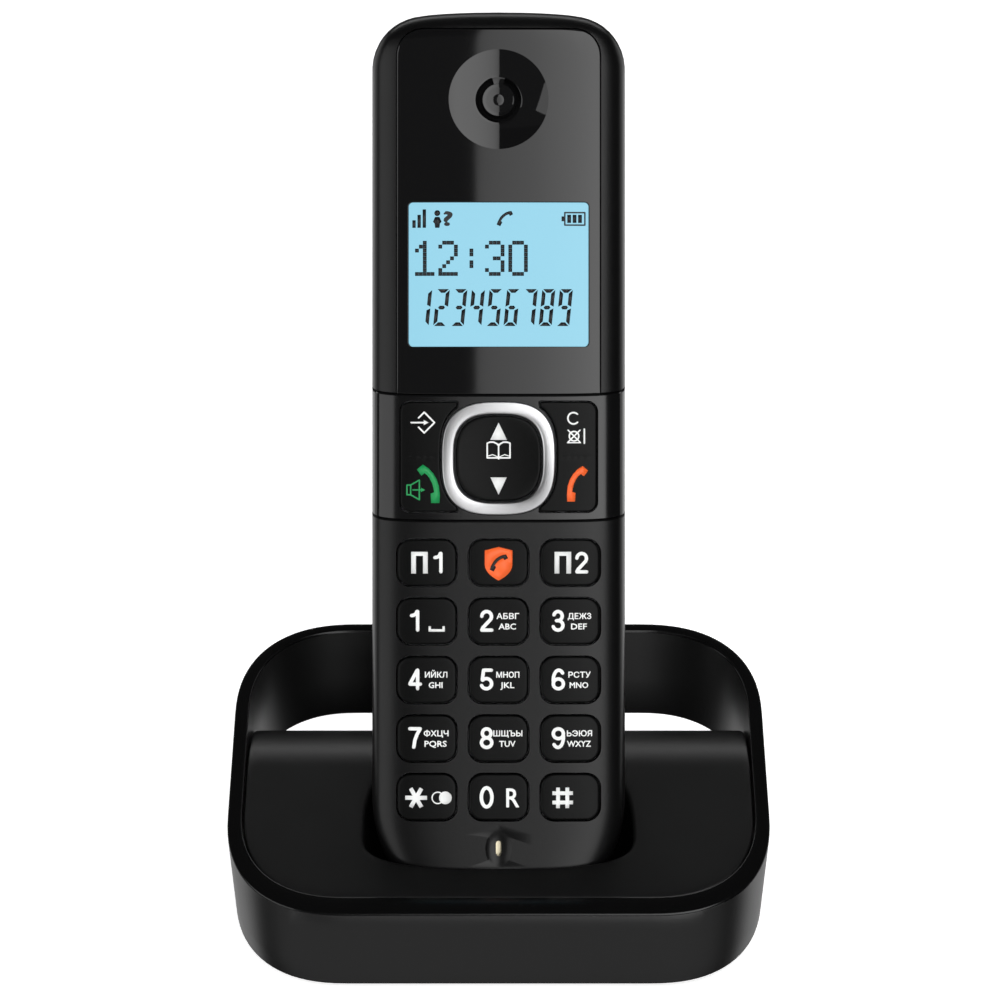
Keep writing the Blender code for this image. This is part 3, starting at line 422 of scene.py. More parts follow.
def panel(loops, surface, edge_radius, back, step, proud=0.0, extra=(), steps=4, bowl=()):
    """A closed plate whose front follows surface(x, z), with rounded edges round every loop.

    The outer loop is anticlockwise and each hole clockwise, so that the plate lies on their left. The rows of
    a bowl, from its rim inwards, take the place of the front inside its rim. The back is a depth or a surface."""
    bm = bmesh.new()
    back_at = back if callable(back) else lambda x, z: back
    tops, outlines = [], []
    turns = quarter_turns(0, steps)
    for loop in loops:
        rows = [[(x, back_at(x, z), z) for x, z in loop]]
        insets = [(edge_radius * (1 - cos(t)), edge_radius * (1 - sin(t)) - proud) for t in turns]
        for inset, drop in insets + [(edge_radius + SUPPORT, -proud)]:
            moved = offset(loop, inset)
            rows.append([(x, surface(x, z) + drop, z) for x, z in moved])
        rows = skin(bm, rows)
        tops.append((rows[0], rows[-1]))
        outlines.append(moved)
    if bowl:
        rows = skin(bm, [[(x, y - proud, z) for x, y, z in row] for row in bowl])
        bm.faces.new(rows[-1])
        for i, vertex in enumerate(rows[0]):
            bm.edges.get((vertex, rows[0][i - 1])).seam = True
        tops.append((None, rows[0]))
        outlines.append([(x, z) for x, _, z in bowl[0]])
    xs = [x for x, _ in outlines[0]]
    zs = [z for _, z in outlines[0]]
    grid = list(extra)
    inner = [offset(loop, step * 0.45) for loop in outlines]
    if bowl:
        inner[-1] = offset(outlines[-1], -step * 0.45)
    for i in range(int((max(xs) - min(xs)) / step) + 2):
        for j in range(int((max(zs) - min(zs)) / step) + 2):
            x, z = min(xs) + (i + 0.5 * (j % 2)) * step, min(zs) + j * step
            if sum(inside(x, z, loop) for loop in inner) % 2:
                grid.append((x, z))
    def flat(spot):
        return spot.x, spot.z

    fill_sheet(bm, [top for _, top in tops], grid, flat, lambda x, z: (x, surface(x, z) - proud, z))
    back_grid = grid if callable(back) else ()
    fill_sheet(bm, [low for low, _ in tops if low], back_grid, flat, lambda x, z: (x, back_at(x, z), z))
    return bm


# ---------------------------------------------------------------- printed marks
def marks(name, body, material, surface, shapes=(), holes=(), words=(), lift=0.00002):
    """Thin printed marks on a surface, from filled outlines, outlines to leave out and text."""
    filled = [region([loop]) for loop in shapes]
    empty = [region([loop]) for loop in holes]
    for text, size, x, z, weight, width in words:
        loops = text_outlines(text, size, x, z, width)
        filled.append(region(loops))
        if weight:
            for loop in loops:
                filled += [region([quad]) for quad in stroke(loop, weight, True, weight > 0.0002)]
    loops = [loop for _, group in filled + empty for loop in group]
    out, faces = triangulate(
        loops, kept=lambda x, z: covered(x, z, filled) and not covered(x, z, empty), merge=1e-8
    )
    bm = bmesh.new()
    made = [bm.verts.new((p.x, 0, p.y)) for p in out]
    for face in faces:
        bm.faces.new([made[i] for i in face])
    loose = [v for v in bm.verts if not v.link_faces]
    bmesh.ops.delete(bm, geom=loose, context="VERTS")
    bmesh.ops.recalc_face_normals(bm, faces=bm.faces)
    for face in bm.faces:
        face.normal_update()
        if face.normal.y > 0:
            face.normal_flip()
    front = list(bm.faces)
    ring = bmesh.ops.extrude_face_region(bm, geom=front, use_keep_orig=True)
    moved = {v for v in ring["geom"] if isinstance(v, bmesh.types.BMVert)}
    for v in bm.verts:
        v.co.y = surface(v.co.x, v.co.z) - lift + (0 if v in moved else INK * 0.5)
    finish_mesh(name, bm, material, body, matrix=HANDSET, sharp=180)


def region(loops):
    xs = [x for loop in loops for x, _ in loop]
    zs = [z for loop in loops for _, z in loop]
    return (min(xs), max(xs), min(zs), max(zs)), loops


def covered(x, z, regions):
    for (x0, x1, z0, z1), loops in regions:
        if x0 <= x <= x1 and z0 <= z <= z1 and sum(inside(x, z, loop) for loop in loops) % 2:
            return True
    return False


CAP_HEIGHTS = {}


def outline_spots(text, resolution):
    """The outlines of a text as points and as links between them, in the font's own units."""
    curve = bpy.data.curves.new("text", "FONT")
    curve.body = text
    curve.size = 1.0
    curve.fill_mode = "NONE"
    curve.resolution_u = resolution
    obj = bpy.data.objects.new("text", curve)
    bpy.context.scene.collection.objects.link(obj)
    bpy.context.view_layer.update()
    mesh = bpy.data.meshes.new_from_object(obj.evaluated_get(bpy.context.evaluated_depsgraph_get()))
    bpy.data.objects.remove(obj)
    bpy.data.curves.remove(curve)
    spots = [(v.co.x, v.co.y) for v in mesh.vertices]
    linked = {}
    for edge in mesh.edges:
        a, b = edge.vertices
        linked.setdefault(a, []).append(b)
        linked.setdefault(b, []).append(a)
    bpy.data.meshes.remove(mesh)
    return spots, linked


def text_outlines(text, size, x, z, width):
    """The outlines of a line of text whose capitals are size tall and which is width wide, centred on (x, z)."""
    spots, linked = outline_spots(text, 4 if size > 0.002 else 2)
    letter = "H" if text[0] < "Z" else "Н"
    if letter not in CAP_HEIGHTS:
        CAP_HEIGHTS[letter] = max(p[1] for p in outline_spots(letter, 1)[0])
    xs = [p[0] for p in spots]
    middle_x, middle_y = (min(xs) + max(xs)) / 2, CAP_HEIGHTS[letter] / 2
    rise = size / CAP_HEIGHTS[letter]
    spread = width / (max(xs) - min(xs))
    loops, seen = [], set()
    for first in linked:
        if first in seen:
            continue
        chain, here = [], first
        while here is not None:
            seen.add(here)
            chain.append((x + (spots[here][0] - middle_x) * spread, z + (spots[here][1] - middle_y) * rise))
            here = next((n for n in linked[here] if n not in seen), None)
        chain = [p for i, p in enumerate(chain) if dist(p, chain[i - 1]) > size * 0.004]
        if len(chain) > 2:
            loops.append(chain)
    return loops


DIGITS = {
    "0": [oval(0.31, 0.5, 0.235, 0.4225)],
    "1": [[(0.43, 0.0775), (0.43, 0.9225)], [(0.15, 0.735), (0.27, 0.76), (0.35, 0.81), (0.40, 0.9225)]],
    "2": [oval(0.31, 0.695, 0.22, 0.2275, 178, -38) + [(0.14, 0.19), (0.085, 0.0775)],
          [(0.085, 0.0775), (0.545, 0.0775)]],
    "3": [oval(0.295, 0.715, 0.19, 0.2075, 165, -90, 18), oval(0.295, 0.2925, 0.225, 0.215, 90, -165, 18),
          [(0.22, 0.5075), (0.30, 0.5075)]],
    "4": [[(0.43, 0.0775), (0.43, 0.9225)], [(0.40, 0.90), (0.075, 0.285), (0.56, 0.285)]],
    "5": [[(0.53, 0.9225), (0.17, 0.9225), (0.115, 0.50)] + oval(0.30, 0.31, 0.235, 0.2325, 138, -160, 20)],
    "6": [oval(0.31, 0.30, 0.23, 0.2225), oval(0.33, 0.47, 0.25, 0.4525, 190, 45, 18)],
    "7": [[(0.07, 0.9225), (0.55, 0.9225), (0.41, 0.68), (0.31, 0.42), (0.255, 0.0775)]],
    "8": [oval(0.31, 0.72, 0.195, 0.2025), oval(0.31, 0.295, 0.235, 0.2175)],
    "9": [oval(0.31, 0.70, 0.23, 0.2225), oval(0.29, 0.53, 0.25, 0.4525, 10, -135, 18)],
}


def digit(character, x, z, size):
    """A bold digit, drawn as strokes and centred on (x, z)."""
    made = []
    for line in DIGITS[character]:
        made += stroke([(x + (a - 0.31) * size, z + (b - 0.5) * size) for a, b in line], 0.158 * size)
    return made


def stroke(points, width, closed=False, joints=True):
    """A line of that width as overlapping quads and round joints."""
    made = []
    pairs = list(zip(points, points[1:]))
    if closed:
        pairs.append((points[-1], points[0]))
    for (ax, az), (bx, bz) in pairs:
        length = hypot(bx - ax, bz - az)
        nx, nz = -(bz - az) / length * width / 2, (bx - ax) / length * width / 2
        made.append([(ax + nx, az + nz), (ax - nx, az - nz), (bx - nx, bz - nz), (bx + nx, bz + nz)])
    for x, z in points if joints else ():
        made.append(circle(x, z, width / 2, 8))
    return made



# ---------------------------------------------------------------- handset surfaces
def half_width(v):
    if v < FOOT_CORNER_TOP:
        fall = FOOT_CORNER_TOP - v
        return HALF_WIDTH - FOOT_CORNER_RADIUS + sqrt(FOOT_CORNER_RADIUS**2 - fall**2)
    rise = max(v - (LENGTH - TOP_RADIUS), 0.0)
    return HALF_WIDTH - TOP_RADIUS + sqrt(max(TOP_RADIUS**2 - rise**2, 0.0))


def end_round(distance, radius):
    if distance >= radius:
        return 0.0
    return radius - sqrt(radius**2 - (radius - max(distance, 0.0)) ** 2)


def half_depth(v, front):
    """How deep the face's or the back's half of the handset is at a height v along it."""
    depth, bevel = (FACE_DEPTH, BEVEL_TOP_FACE) if front else (BACK_DEPTH, BEVEL_TOP_BACK)
    return depth - end_round(LENGTH - v, bevel) - end_round(v, BEVEL_FOOT)


def face(x, v):
    """How far the face lies behind its front line."""
    depth = half_depth(v, True)
    share = min(abs(x) / half_width(min(max(v, 0.0), LENGTH)), 0.9995)
    return FACE_DEPTH - depth * (1 - share**FACE_EXPONENT) ** (1 / FACE_EXPONENT)


def slope_at(v):
    """The slant of the mesh's stations: level with the table at the foot, along the seams, then square."""
    stations = ((0.0, tan(LEAN)), (0.060, SEAM_SLOPE), (0.105, SEAM_SLOPE), (0.150, 0.0), (0.200, 0.0))
    for (a, low), (b, high) in zip(stations, stations[1:]):
        if v <= b:
            return low + (high - low) * (v - a) / (b - a)
    return 0.0


def half_loop(station, inset, front, gap, count=72):
    """A D-shaped section: the face's or the back's half, closed along the parting line."""
    slope = slope_at(station)
    points = []
    for i in range(count + 1):
        t = pi * (i / count)
        c, s = cos(t), sin(t)
        exponent = FACE_EXPONENT if front else BACK_EXPONENT
        y = 0.0
        for _ in range(4):
            v = min(max(station + slope * y, 0.0), LENGTH)
            top = LENGTH - v
            half = half_width(v) - inset
            reach = (half_depth(v, front) - inset) * s ** (2 / exponent)
            y = FACE_DEPTH - reach if front else FACE_DEPTH + reach
        x = half * bent(c, exponent)
        crown = TOP_CROWN * max(0.0, 1 - top / TOP_RADIUS) * (1 - (x / max(half, 1e-6)) ** 2)
        z = station + slope * y + crown
        y = min(y, FACE_DEPTH - gap) if front else max(y, FACE_DEPTH + gap)
        points.append((x, y, z))
    return points


def stations_between(low, high):
    fixed = [0.0, 0.0002, 0.0005, 0.0009, 0.0015]
    fixed += [0.0015 + 0.0020 * i for i in range(1, 11)]
    fixed += [0.0240 + 0.0040 * i for i in range(33)]
    from_top = (11.0, 9.5, 8.0, 6.5, 5.0, 4.0, 3.0, 2.1, 1.4, 0.8, 0.4, 0.1, 0.0)
    top = [LENGTH - millimetres / 1000 for millimetres in from_top]
    fixed = [v for v in fixed if v < top[0] - 0.001] + top
    return [low] + [v for v in fixed if low + 0.0003 < v < high - 0.00005] + [high]


def cap_loops(loop):
    """Smaller and smaller copies of the topmost section, so that the crowned top is smooth."""
    half = max(x for x, _, _ in loop)
    made = []
    for k in (0.8, 0.6, 0.4, 0.2):
        made.append([
            (x * k, FACE_DEPTH + (y - FACE_DEPTH) * k, LENGTH + TOP_CROWN * (1 - (x * k / half) ** 2))
            for x, y, _ in loop
        ])
    return made


# the outline of the hollow inside both halves
SHELL_INSIDE = [
    (0.0125, 0.0062), (0.0170, 0.0110), (0.0205, 0.0180), (0.0210, 0.0250), (0.0210, 0.1560), (0.0190, 0.1610),
    (0.0140, 0.1640),
]
SHELL_INSIDE += [(-x, z) for x, z in reversed(SHELL_INSIDE)]


def key_centres():
    for row, names in enumerate(KEY_ROWS):
        for name, x in zip(names, KEY_COLUMNS):
            yield name, x, KEY_FIRST_ROW + row * KEY_PITCH


def key_outline(x, z, grow=0.0):
    return rounded_rectangle(KEY_HALF_WIDTH + grow, KEY_HALF_HEIGHT + grow, KEY_RADIUS + grow, 7, (x, z), 0.0012)


def window_outline(grow, low, slope=0.0):
    """The window's outline: round corners above and square ones below, along the seam if slope is given."""
    half, top, radius = WINDOW_HALF_WIDTH + grow, WINDOW_TOP + grow, WINDOW_RADIUS + grow
    points = []
    for i in range(41):
        x = -half + 2 * half * i / 40
        points.append((x, low + slope * face(x, low)))
    count = round((top - radius - points[-1][1]) / 0.0015)
    points += [(half, points[40][1] + (top - radius - points[40][1]) * i / count) for i in range(1, count)]
    points += arc(half - radius, top - radius, radius, 0, 90, 14)
    points += [((half - radius) * (1 - 2 * i / 20), top) for i in range(1, 20)]
    points += arc(radius - half, top - radius, radius, 90, 180, 14)
    points += [(-half, top - radius + (points[0][1] - top + radius) * i / count) for i in range(1, count)]
    return points


def handset_front():
    chamfer = 0.00022
    loops = [half_loop(v, 0.0, True, GAP / 2) for v in stations_between(0.0, SEAM_LOW - chamfer)]
    for v, inset in ((SEAM_LOW, chamfer), (SEAM_LOW, 0.0014), (SEAM_HIGH, 0.0014), (SEAM_HIGH, chamfer)):
        loops.append(half_loop(v, inset, True, GAP / 2))
    loops += [half_loop(v, 0.0, True, GAP / 2) for v in stations_between(SEAM_HIGH + chamfer, LENGTH)]
    body = loft(loops + cap_loops(loops[-1]))
    body = cut(body, prism_y(SHELL_INSIDE, 0.0034, 0.0100))
    body = cut(body, join(*(prism_y(key_outline(x, z, KEY_GAP), *THROUGH_FACE) for _, x, z in key_centres())))
    opening_half = ROCKER_HALF_HEIGHT + abs(ROCKER_CENTRE - NAV_CENTRE) + 0.0007
    body = cut(body, prism_y(rounded_rectangle(0.0187, opening_half, 0.002, 6, (0, NAV_CENTRE)), *THROUGH_FACE))
    body = cut(body, prism_y(window_outline(0.00013, SEAM_HIGH - 0.0007), -0.010, WINDOW_SEAT))
    body = cut(body, mic_dish())
    tools = [prism_y(rounded_rectangle(0.0005, 0.0014, 0.00049, 6, (0, MICROPHONE_Z)), *THROUGH_FACE)]
    for side in (-1, 1):
        pad = loft([[(x, y, z) for x, y in rounded_rectangle(0.0019, 0.0023, 0.0004, 3)] for z in (-0.0009, 0.0011)])
        depth = 0.0050
        turn = Matrix.Translation((side * CONTACT_X, depth, depth * tan(LEAN))) @ Matrix.Rotation(LEAN, 4, "X")
        bmesh.ops.transform(pad, matrix=turn, verts=pad.verts)
        tools.append(pad)
    body = cut(body, join(*tools))
    finish_mesh("handset_front", body, KEYPAD, "handset", ["front_housing"], HANDSET, 28)


def mic_dish():
    """A flat lens that dishes the face round the microphone's slot."""
    loops = []
    count, depth, radius_x, radius_z = 12, 0.0014, 0.0030, 0.0042
    for i in range(1, count):
        t = pi * i / count - pi / 2
        y = -0.0008 + depth * sin(t)
        loops.append([(radius_x * cos(t) * cos(a), y, MICROPHONE_Z + radius_z * cos(t) * sin(a))
                      for a in [2 * pi * j / 40 for j in range(40)]])
    return loft(loops)


def nav_band():
    chamfer = 0.00022
    low, high = SEAM_LOW + 0.00012, SEAM_HIGH - 0.00012
    stations = [low + chamfer + (high - low - 2 * chamfer) * i / 12 for i in range(13)]
    loops = [half_loop(low, chamfer, True, GAP / 2)]
    loops += [half_loop(v, 0.0, True, GAP / 2) for v in stations]
    loops.append(half_loop(high, chamfer, True, GAP / 2))
    inner = loft([half_loop(v, 0.0011, True, 0.0) for v in (low - 0.002, (low + high) / 2, high + 0.002)])
    body = cut(loft(loops), inner)
    tools = [prism_y(rocker_outline(side, 0.00028), *THROUGH_FACE) for side in (-1, 1)]
    body = cut(body, join(*tools))
    body = cut(body, prism_y(superellipse(NAV_RING_OUT + 0.0001, NAV_EXPONENT, 96, (0, NAV_CENTRE)), *THROUGH_FACE))
    finish_mesh("nav_band", body, BAND_GLOSS, "handset", ["nav_bezel"], HANDSET, 28)


def rocker_outline(side, grow):
    """One of the two large keys: round outer corners, and an inner side that follows the ring."""
    outer, top, radius = 0.0181 + grow, ROCKER_HALF_HEIGHT + grow, 0.0018 + grow
    ring, blunt = NAV_RING_OUT + 0.0004 - grow, 0.0076 - grow
    points = [(blunt + 0.0004 + (outer - radius - blunt - 0.0004) * i / 10, -top) for i in range(10)]
    points += arc(outer - radius, radius - top, radius, 270, 360, 8)
    points += [(outer, (top - radius) * (i / 10 - 1)) for i in range(1, 20)]
    points += arc(outer - radius, top - radius, radius, 0, 90, 8)
    points += [(outer - radius + (blunt + 0.0004 - outer + radius) * i / 10, top) for i in range(1, 11)]
    points += [(blunt + 0.00010, top - 0.00010), (blunt, top - 0.00030)]
    start = acos(((blunt + 0.00012) / ring) ** (NAV_EXPONENT / 2))
    for i in range(61):
        t = start * (1 - i / 30)
        points.append((ring * bent(cos(t), NAV_EXPONENT), ring * bent(sin(t), NAV_EXPONENT)))
    points += [(blunt, -top + 0.00030), (blunt + 0.00010, -top + 0.00010)]
    points = [(x, z + ROCKER_CENTRE) for x, z in points]
    points = [p for i, p in enumerate(points) if dist(p, points[i - 1]) > 0.00002]
    return points if side > 0 else [(-x, z) for x, z in points][::-1]


def pad_face(x, z):
    """The dished top of the navigation pad."""
    r = hypot(x, z - NAV_CENTRE) / NAV_PAD
    return -NAV_PAD_RISE + NAV_PAD_RISE * max(0.0, 1 - r**2)


def rockers():
    for side, name in ((-1, "left"), (1, "right")):
        across = (-0.00016, 0.0, 0.00016)
        ridge = [(side * (0.0118 + 0.0006 * i), ROCKER_CENTRE + d) for i in range(9) for d in across]

        def top(x, z):
            return face(x, z) + (0.00006 if abs(z - ROCKER_CENTRE) < 0.00005 and abs(x) > 0.0117 else 0.0)

        plate = panel([rocker_outline(side, 0.0)], top, 0.00030, ROCKER_BACK, 0.0011, proud=ROCKER_PROUD, extra=ridge)
        body = f"rocker_key_{name}"
        finish_mesh(f"function_key_{name}", plate, KEYCAP, body, [body], HANDSET, 60)
    pad = superellipse(NAV_PAD, NAV_EXPONENT, 84, (0, NAV_CENTRE))
    plate = panel([pad], pad_face, NAV_PAD_RISE, NAV_PAD_BACK, 0.0009)
    finish_mesh("navigation_pad", plate, KEYCAP, "nav_key", ["nav_key"], HANDSET, 60)
    section = [(NAV_RING_OUT, 0.00115), (NAV_RING_OUT, -0.00045)]
    for t in (0.4, 0.8, 1.2, 1.57):
        section.append((NAV_RING_OUT - 0.00025 * (1 - cos(t)), -0.00055 - 0.00025 * sin(t)))
    section += [(NAV_RING_OUT - 0.0008, -0.00084), (NAV_RING_IN + 0.0008, -0.00084), (NAV_RING_IN + 0.0003, -0.00080)]
    section += [(NAV_RING_IN + 0.0001, -0.00072), (NAV_RING_IN, -0.00055), (NAV_RING_IN, 0.00115)]
    loops = [[(x, y, z) for x, z in superellipse(half, NAV_EXPONENT, 128, (0, NAV_CENTRE))] for half, y in section]
    finish_mesh("navigation_ring", loft(loops, ring=True), SILVER_WITH_PAINTED_SHEEN, "handset", ["nav_ring"], HANDSET, 50)


def keycaps():
    for name, x, z in key_centres():
        def top(px, pz, x=x, z=z):
            u, w = (px - x) / KEY_HALF_WIDTH, (pz - z) / KEY_HALF_HEIGHT
            return face(px, pz) + 0.00010 * (u**4 + w**4)

        cap = panel([key_outline(x, z)], top, 0.00038, KEY_FOOT, 0.0010, proud=KEY_PROUD)
        finish_mesh(f"keycap_{name}", cap, KEYCAP, f"key_{name}", [f"key_{name}"], HANDSET, 60)


def dish_rows():
    """The bowl round the earpiece from its rim inwards, with a C-shaped sound slot round a middle button."""
    count, slot_in, slot_out, slot_depth = 144, 0.0030, 0.0042, 0.0013
    bowl = [(DISH_RADIUS * (1 - i / 12) + (slot_out + 0.00045) * i / 12, 0.0) for i in range(13)]
    bowl += [(slot_out + 0.0001, 0.0), (slot_out, 0.00003), (slot_out - 0.00010, slot_depth * 0.5)]
    bowl += [((slot_in + slot_out) / 2, slot_depth), (slot_in + 0.00010, slot_depth * 0.5), (slot_in, 0.00002)]
    bowl += [(slot_in - 0.00006, -0.00004), (slot_in - 0.00020, -0.00004), (slot_in - 0.00030, 0.0)]
    bowl += [(0.0022, 0.0), (0.0016, 0.0), (0.00108, 0.0)]
    bowl += [(0.00102, -0.00006), (0.00090, -0.00008), (0.0005, -0.000095), (0.0002, -0.00010)]
    rows = []
    for r, extra in bowl:
        row = []
        for i in range(count):
            turn = 2 * pi * (i + 0.5) / count
            x, z = r * sin(turn), DISH_CENTRE + r * cos(turn)
            away = min(turn, 2 * pi - turn)
            fade = min(1.0, max(0.0, (degrees(away) - 17) / 2.5)) if extra > 0.0001 else 1.0
            y = glass(x, z) + DISH_DEPTH * (1 - (r / DISH_RADIUS) ** 2) + extra * fade
            row.append((x, y, z))
        rows.append(row)
    return rows


def glass(x, z):
    """The front of the display window."""
    return face(x, z) + 0.00008


def display_window():
    outline = window_outline(0.0, SEAM_HIGH + 0.00012, SEAM_SLOPE)
    middle, half_z = (DISPLAY_LOW + DISPLAY_HIGH) / 2, (DISPLAY_HIGH - DISPLAY_LOW) / 2
    aperture = rounded_rectangle(DISPLAY_HALF_WIDTH, half_z, 0.0008, 5, (0, middle), 0.0012)
    plate = panel([outline, aperture[::-1]], glass, 0.00016, WINDOW_SEAT - 0.0001, 0.0014, bowl=dish_rows())
    finish_mesh("window", plate, GLOSS, "handset", ["display_window"], HANDSET, 40)
    inner = rounded_rectangle(DISPLAY_HALF_WIDTH - 0.00006, half_z - 0.00006, 0.00075, 5, (0, middle), 0.0012)
    film = panel([inner], glass, 0.00005, WINDOW_SEAT - 0.0001, 0.0016, proud=-0.00012, steps=2)
    finish_mesh("display_face", film, LCD, "handset", matrix=HANDSET, sharp=60)


# ---------------------------------------------------------------- back of the handset
def back_face(x, v, inset=0.0):
    """How far the back lies behind the face's front line."""
    depth = half_depth(v, False) - inset
    share = min(abs(x) / (half_width(min(max(v, 0.0), LENGTH)) - inset), 0.9995)
    return FACE_DEPTH + depth * (1 - share**BACK_EXPONENT) ** (1 / BACK_EXPONENT)


def door_outline(grow):
    half_z = (DOOR_HIGH - DOOR_LOW) / 2
    return rounded_rectangle(DOOR_HALF_WIDTH + grow, half_z + grow, 0.0027 + grow, 8, (0, DOOR_MIDDLE), 0.0020)


GROOVE_PITCH = 0.0022


def groove(half_x, z):
    """A slot with round ends, level across the back."""
    return rounded_rectangle(half_x, 0.0005, 0.00049, 6, (0, z))


def rear_shell():
    loops = [half_loop(v, 0.0, False, GAP / 2) for v in stations_between(0.0, LENGTH)]
    body = loft(loops + cap_loops(loops[-1]))
    tub = rounded_rectangle(DOOR_HALF_WIDTH + 0.0013, (DOOR_HIGH - DOOR_LOW) / 2 + 0.0013, 0.003, 4, (0, DOOR_MIDDLE))
    hollow = cut(prism_y(SHELL_INSIDE, 0.0050, 0.0150), prism_y(tub, TUB_FLOOR - 0.0013, 0.0200))
    body = cut(body, hollow)
    body = cut(body, prism_y(door_outline(GAP), 0.0160, 0.0300))
    cells = rounded_rectangle(TUB_HALF_WIDTH, (TUB_HIGH - TUB_LOW) / 2, 0.001, 4, (0, (TUB_LOW + TUB_HIGH) / 2))
    body = cut(body, prism_y(cells, TUB_FLOOR, 0.0250))
    tools = [prism_y(groove(0.0055, 0.1150 + i * GROOVE_PITCH), 0.0140, 0.0300) for i in range(5)]
    for x in (-0.0130, 0.0130):
        well = ((0.0013, 0.0080), (0.0013, 0.0188), (0.0023, 0.0188), (0.0023, 0.0300))
        tools.append(loft([[(px, y, pz) for px, pz in circle(x, 0.1430, r, 32)] for r, y in well]))
    body = cut(body, join(*tools))
    finish_mesh("rear_shell", body, SATIN, "handset", ["rear_housing"], HANDSET, 28)


def door_panel():
    """The battery door, built facing forward, then turned to face back, with three thumb grooves."""
    def inner(x, z):
        return -back_face(x, z, DOOR_WALL)

    plate = panel([door_outline(0.0)], lambda x, z: -back_face(x, z), 0.00035, inner, 0.0016)
    bmesh.ops.transform(plate, matrix=Matrix.Scale(-1, 4, (0, 1, 0)), verts=plate.verts)
    grooves = [groove(0.0060, DOOR_LOW + 0.0055 + i * GROOVE_PITCH) for i in range(3)]
    plate = cut(plate, join(*(prism_y(outline, 0.0221, 0.0300) for outline in grooves)))
    finish_mesh("door_panel", plate, SATIN, "battery_door", ["battery_door"], HANDSET, 28)


def page_key():
    """The round button on the base's back, with a shallow hollow for a finger."""
    radius, inside_wall, edge = 0.0040, BODY_BACK - 0.0024, 0.0004
    profile = [(radius + 0.0010, inside_wall - 0.0012), (radius + 0.0010, inside_wall), (radius, inside_wall)]
    for t in quarter_turns(0, 5):
        profile.append((radius - edge * (1 - cos(t)), BODY_BACK + 0.0006 + edge * sin(t)))
    for k in (0.80, 0.65, 0.45, 0.25, 0.1):
        profile.append((radius * k, BODY_BACK + 0.0010 - 0.00030 * (1 - (k / 0.85) ** 2)))
    loops = [[(x, y, z) for x, z in circle(0, PAGE_BUTTON_Z, r, 48)] for r, y in profile]
    finish_mesh("page_key", loft(loops), KEYCAP, "page_button", ["page_button"], BASE, 40)


# ---------------------------------------------------------------- legends
LETTERS = {
    "two": ("2", ("АБВГ", 4.12), ("ABC", 3.15)),
    "three": ("3", ("ДЕЖЗ", 4.29), ("DEF", 2.86)),
    "four": ("4", ("ИЙКЛ", 4.09), ("GHI", 2.52)),
    "five": ("5", ("МНОП", 4.20), ("JKL", 2.55)),
    "six": ("6", ("РСТУ", 4.05), ("MNO", 3.40)),
    "seven": ("7", ("ФХЦЧ", 4.51), ("PQRS", 4.04)),
    "eight": ("8", ("ШЩЪЫ", 5.30), ("TUV", 2.95)),
    "nine": ("9", ("ЬЭЮЯ", 4.60), ("WXYZ", 4.35)),
}
# each line of letters: its height and where its middle is from the key's, in metres
LETTER_LINES = ((0.00106, 0.0017, 0.00098), (0.00104, 0.0016, -0.00095))
# half of a shield's outline from its top to its point, as shares of its half width and half height
SHIELD = [
    (0.35, 0.93), (0.7, 0.85), (1.0, 0.80), (1.0, -0.05), (0.97, -0.22), (0.86, -0.42), (0.70, -0.60), (0.46, -0.77),
    (0.2, -0.91),
]


def placed(x, z, points, size=0.001):
    """Points in millimetres, or in units of size, round (x, z)."""
    return [(x + a * size, z + b * size) for a, b in points]


def bars(x, z, *sides):
    return [placed(x, z, bar(*side)) for side in sides]


def drawn(x, z, width, points, closed=False):
    """A line in millimetres round (x, z)."""
    return stroke(placed(x, z, points), width / 1000, closed)


def key_legends():
    def top(x, z):
        return face(x, z) - KEY_PROUD

    for name, x, z in key_centres():
        shapes, words = [], []
        if name == "call_block":
            shield = [(0, 1)] + [(-a, b) for a, b in SHIELD] + [(0, -1)] + SHIELD[::-1]
            shield = [(x + a * 0.00255, z - 0.0002 + b * 0.0031) for a, b in shield]
            glyph = receiver(x + 0.0001, z, 0.58, lean=24)
            marks("mark_call_block", "key_call_block", ORANGE_INK, top, [shield], [glyph])
            marks("mark_call_block_receiver", "key_call_block", BLACK_INK, top, [glyph], lift=0.00001)
            continue
        if name in LETTERS:
            number, *lines = LETTERS[name]
            shapes = digit(number, x - 0.0022, z + 0.0001, 0.00405)
            for (letters, width), (size, right, up) in zip(lines, LETTER_LINES):
                words.append((letters, size, x + right, z + up, 0.00007, width / 1000))
        elif name == "one":
            shapes = digit("1", x - 0.0022, z + 0.0001, 0.00405)
            shapes += bars(x, z, (0.3, 3.3, -1.9, -1.45), (0.3, 0.75, -1.9, -0.9), (2.85, 3.3, -1.9, -0.9))
        elif name == "zero":
            shapes = digit("0", x - 0.0022, z, 0.00415)
            words = [("R", 0.0034, x + 0.0026, z - 0.0001, 0.00012, 0.0023)]
        elif name == "hash":
            for d in (-0.85, 0.85):
                upright, level = (d - 0.35, d + 0.35, -1.9, 1.9), (-1.9, 1.9, d - 0.35, d + 0.35)
                shapes += bars(x - 0.0014, z - 0.0001, upright, level)
        elif name == "star":
            for turn in (0, pi / 3, 2 * pi / 3):
                c, s = cos(turn), sin(turn)
                arm = [(a * c - b * s, a * s + b * c) for a, b in bar(-2.0, 2.0, -0.38, 0.38)]
                shapes.append(placed(x - 0.0020, z - 0.0001, arm))
            shapes.append(circle(x + 0.0034, z - 0.0001, 0.00118))
            shapes += stroke(arc(x + 0.0020, z - 0.0001, 0.00105, 52, 308, 22), 0.00022)
        else:
            shapes = bars(x - 0.0029, z, (0, 0.88, -2.0, 2.0), (2.18, 3.06, -2.0, 2.0), (0, 3.06, 1.25, 2.0))
            shapes += digit("1" if name.endswith("one") else "2", x + 0.0021, z, 0.0040)
        marks(f"mark_{name}", f"key_{name}", WHITE_INK, top, shapes, words=words)


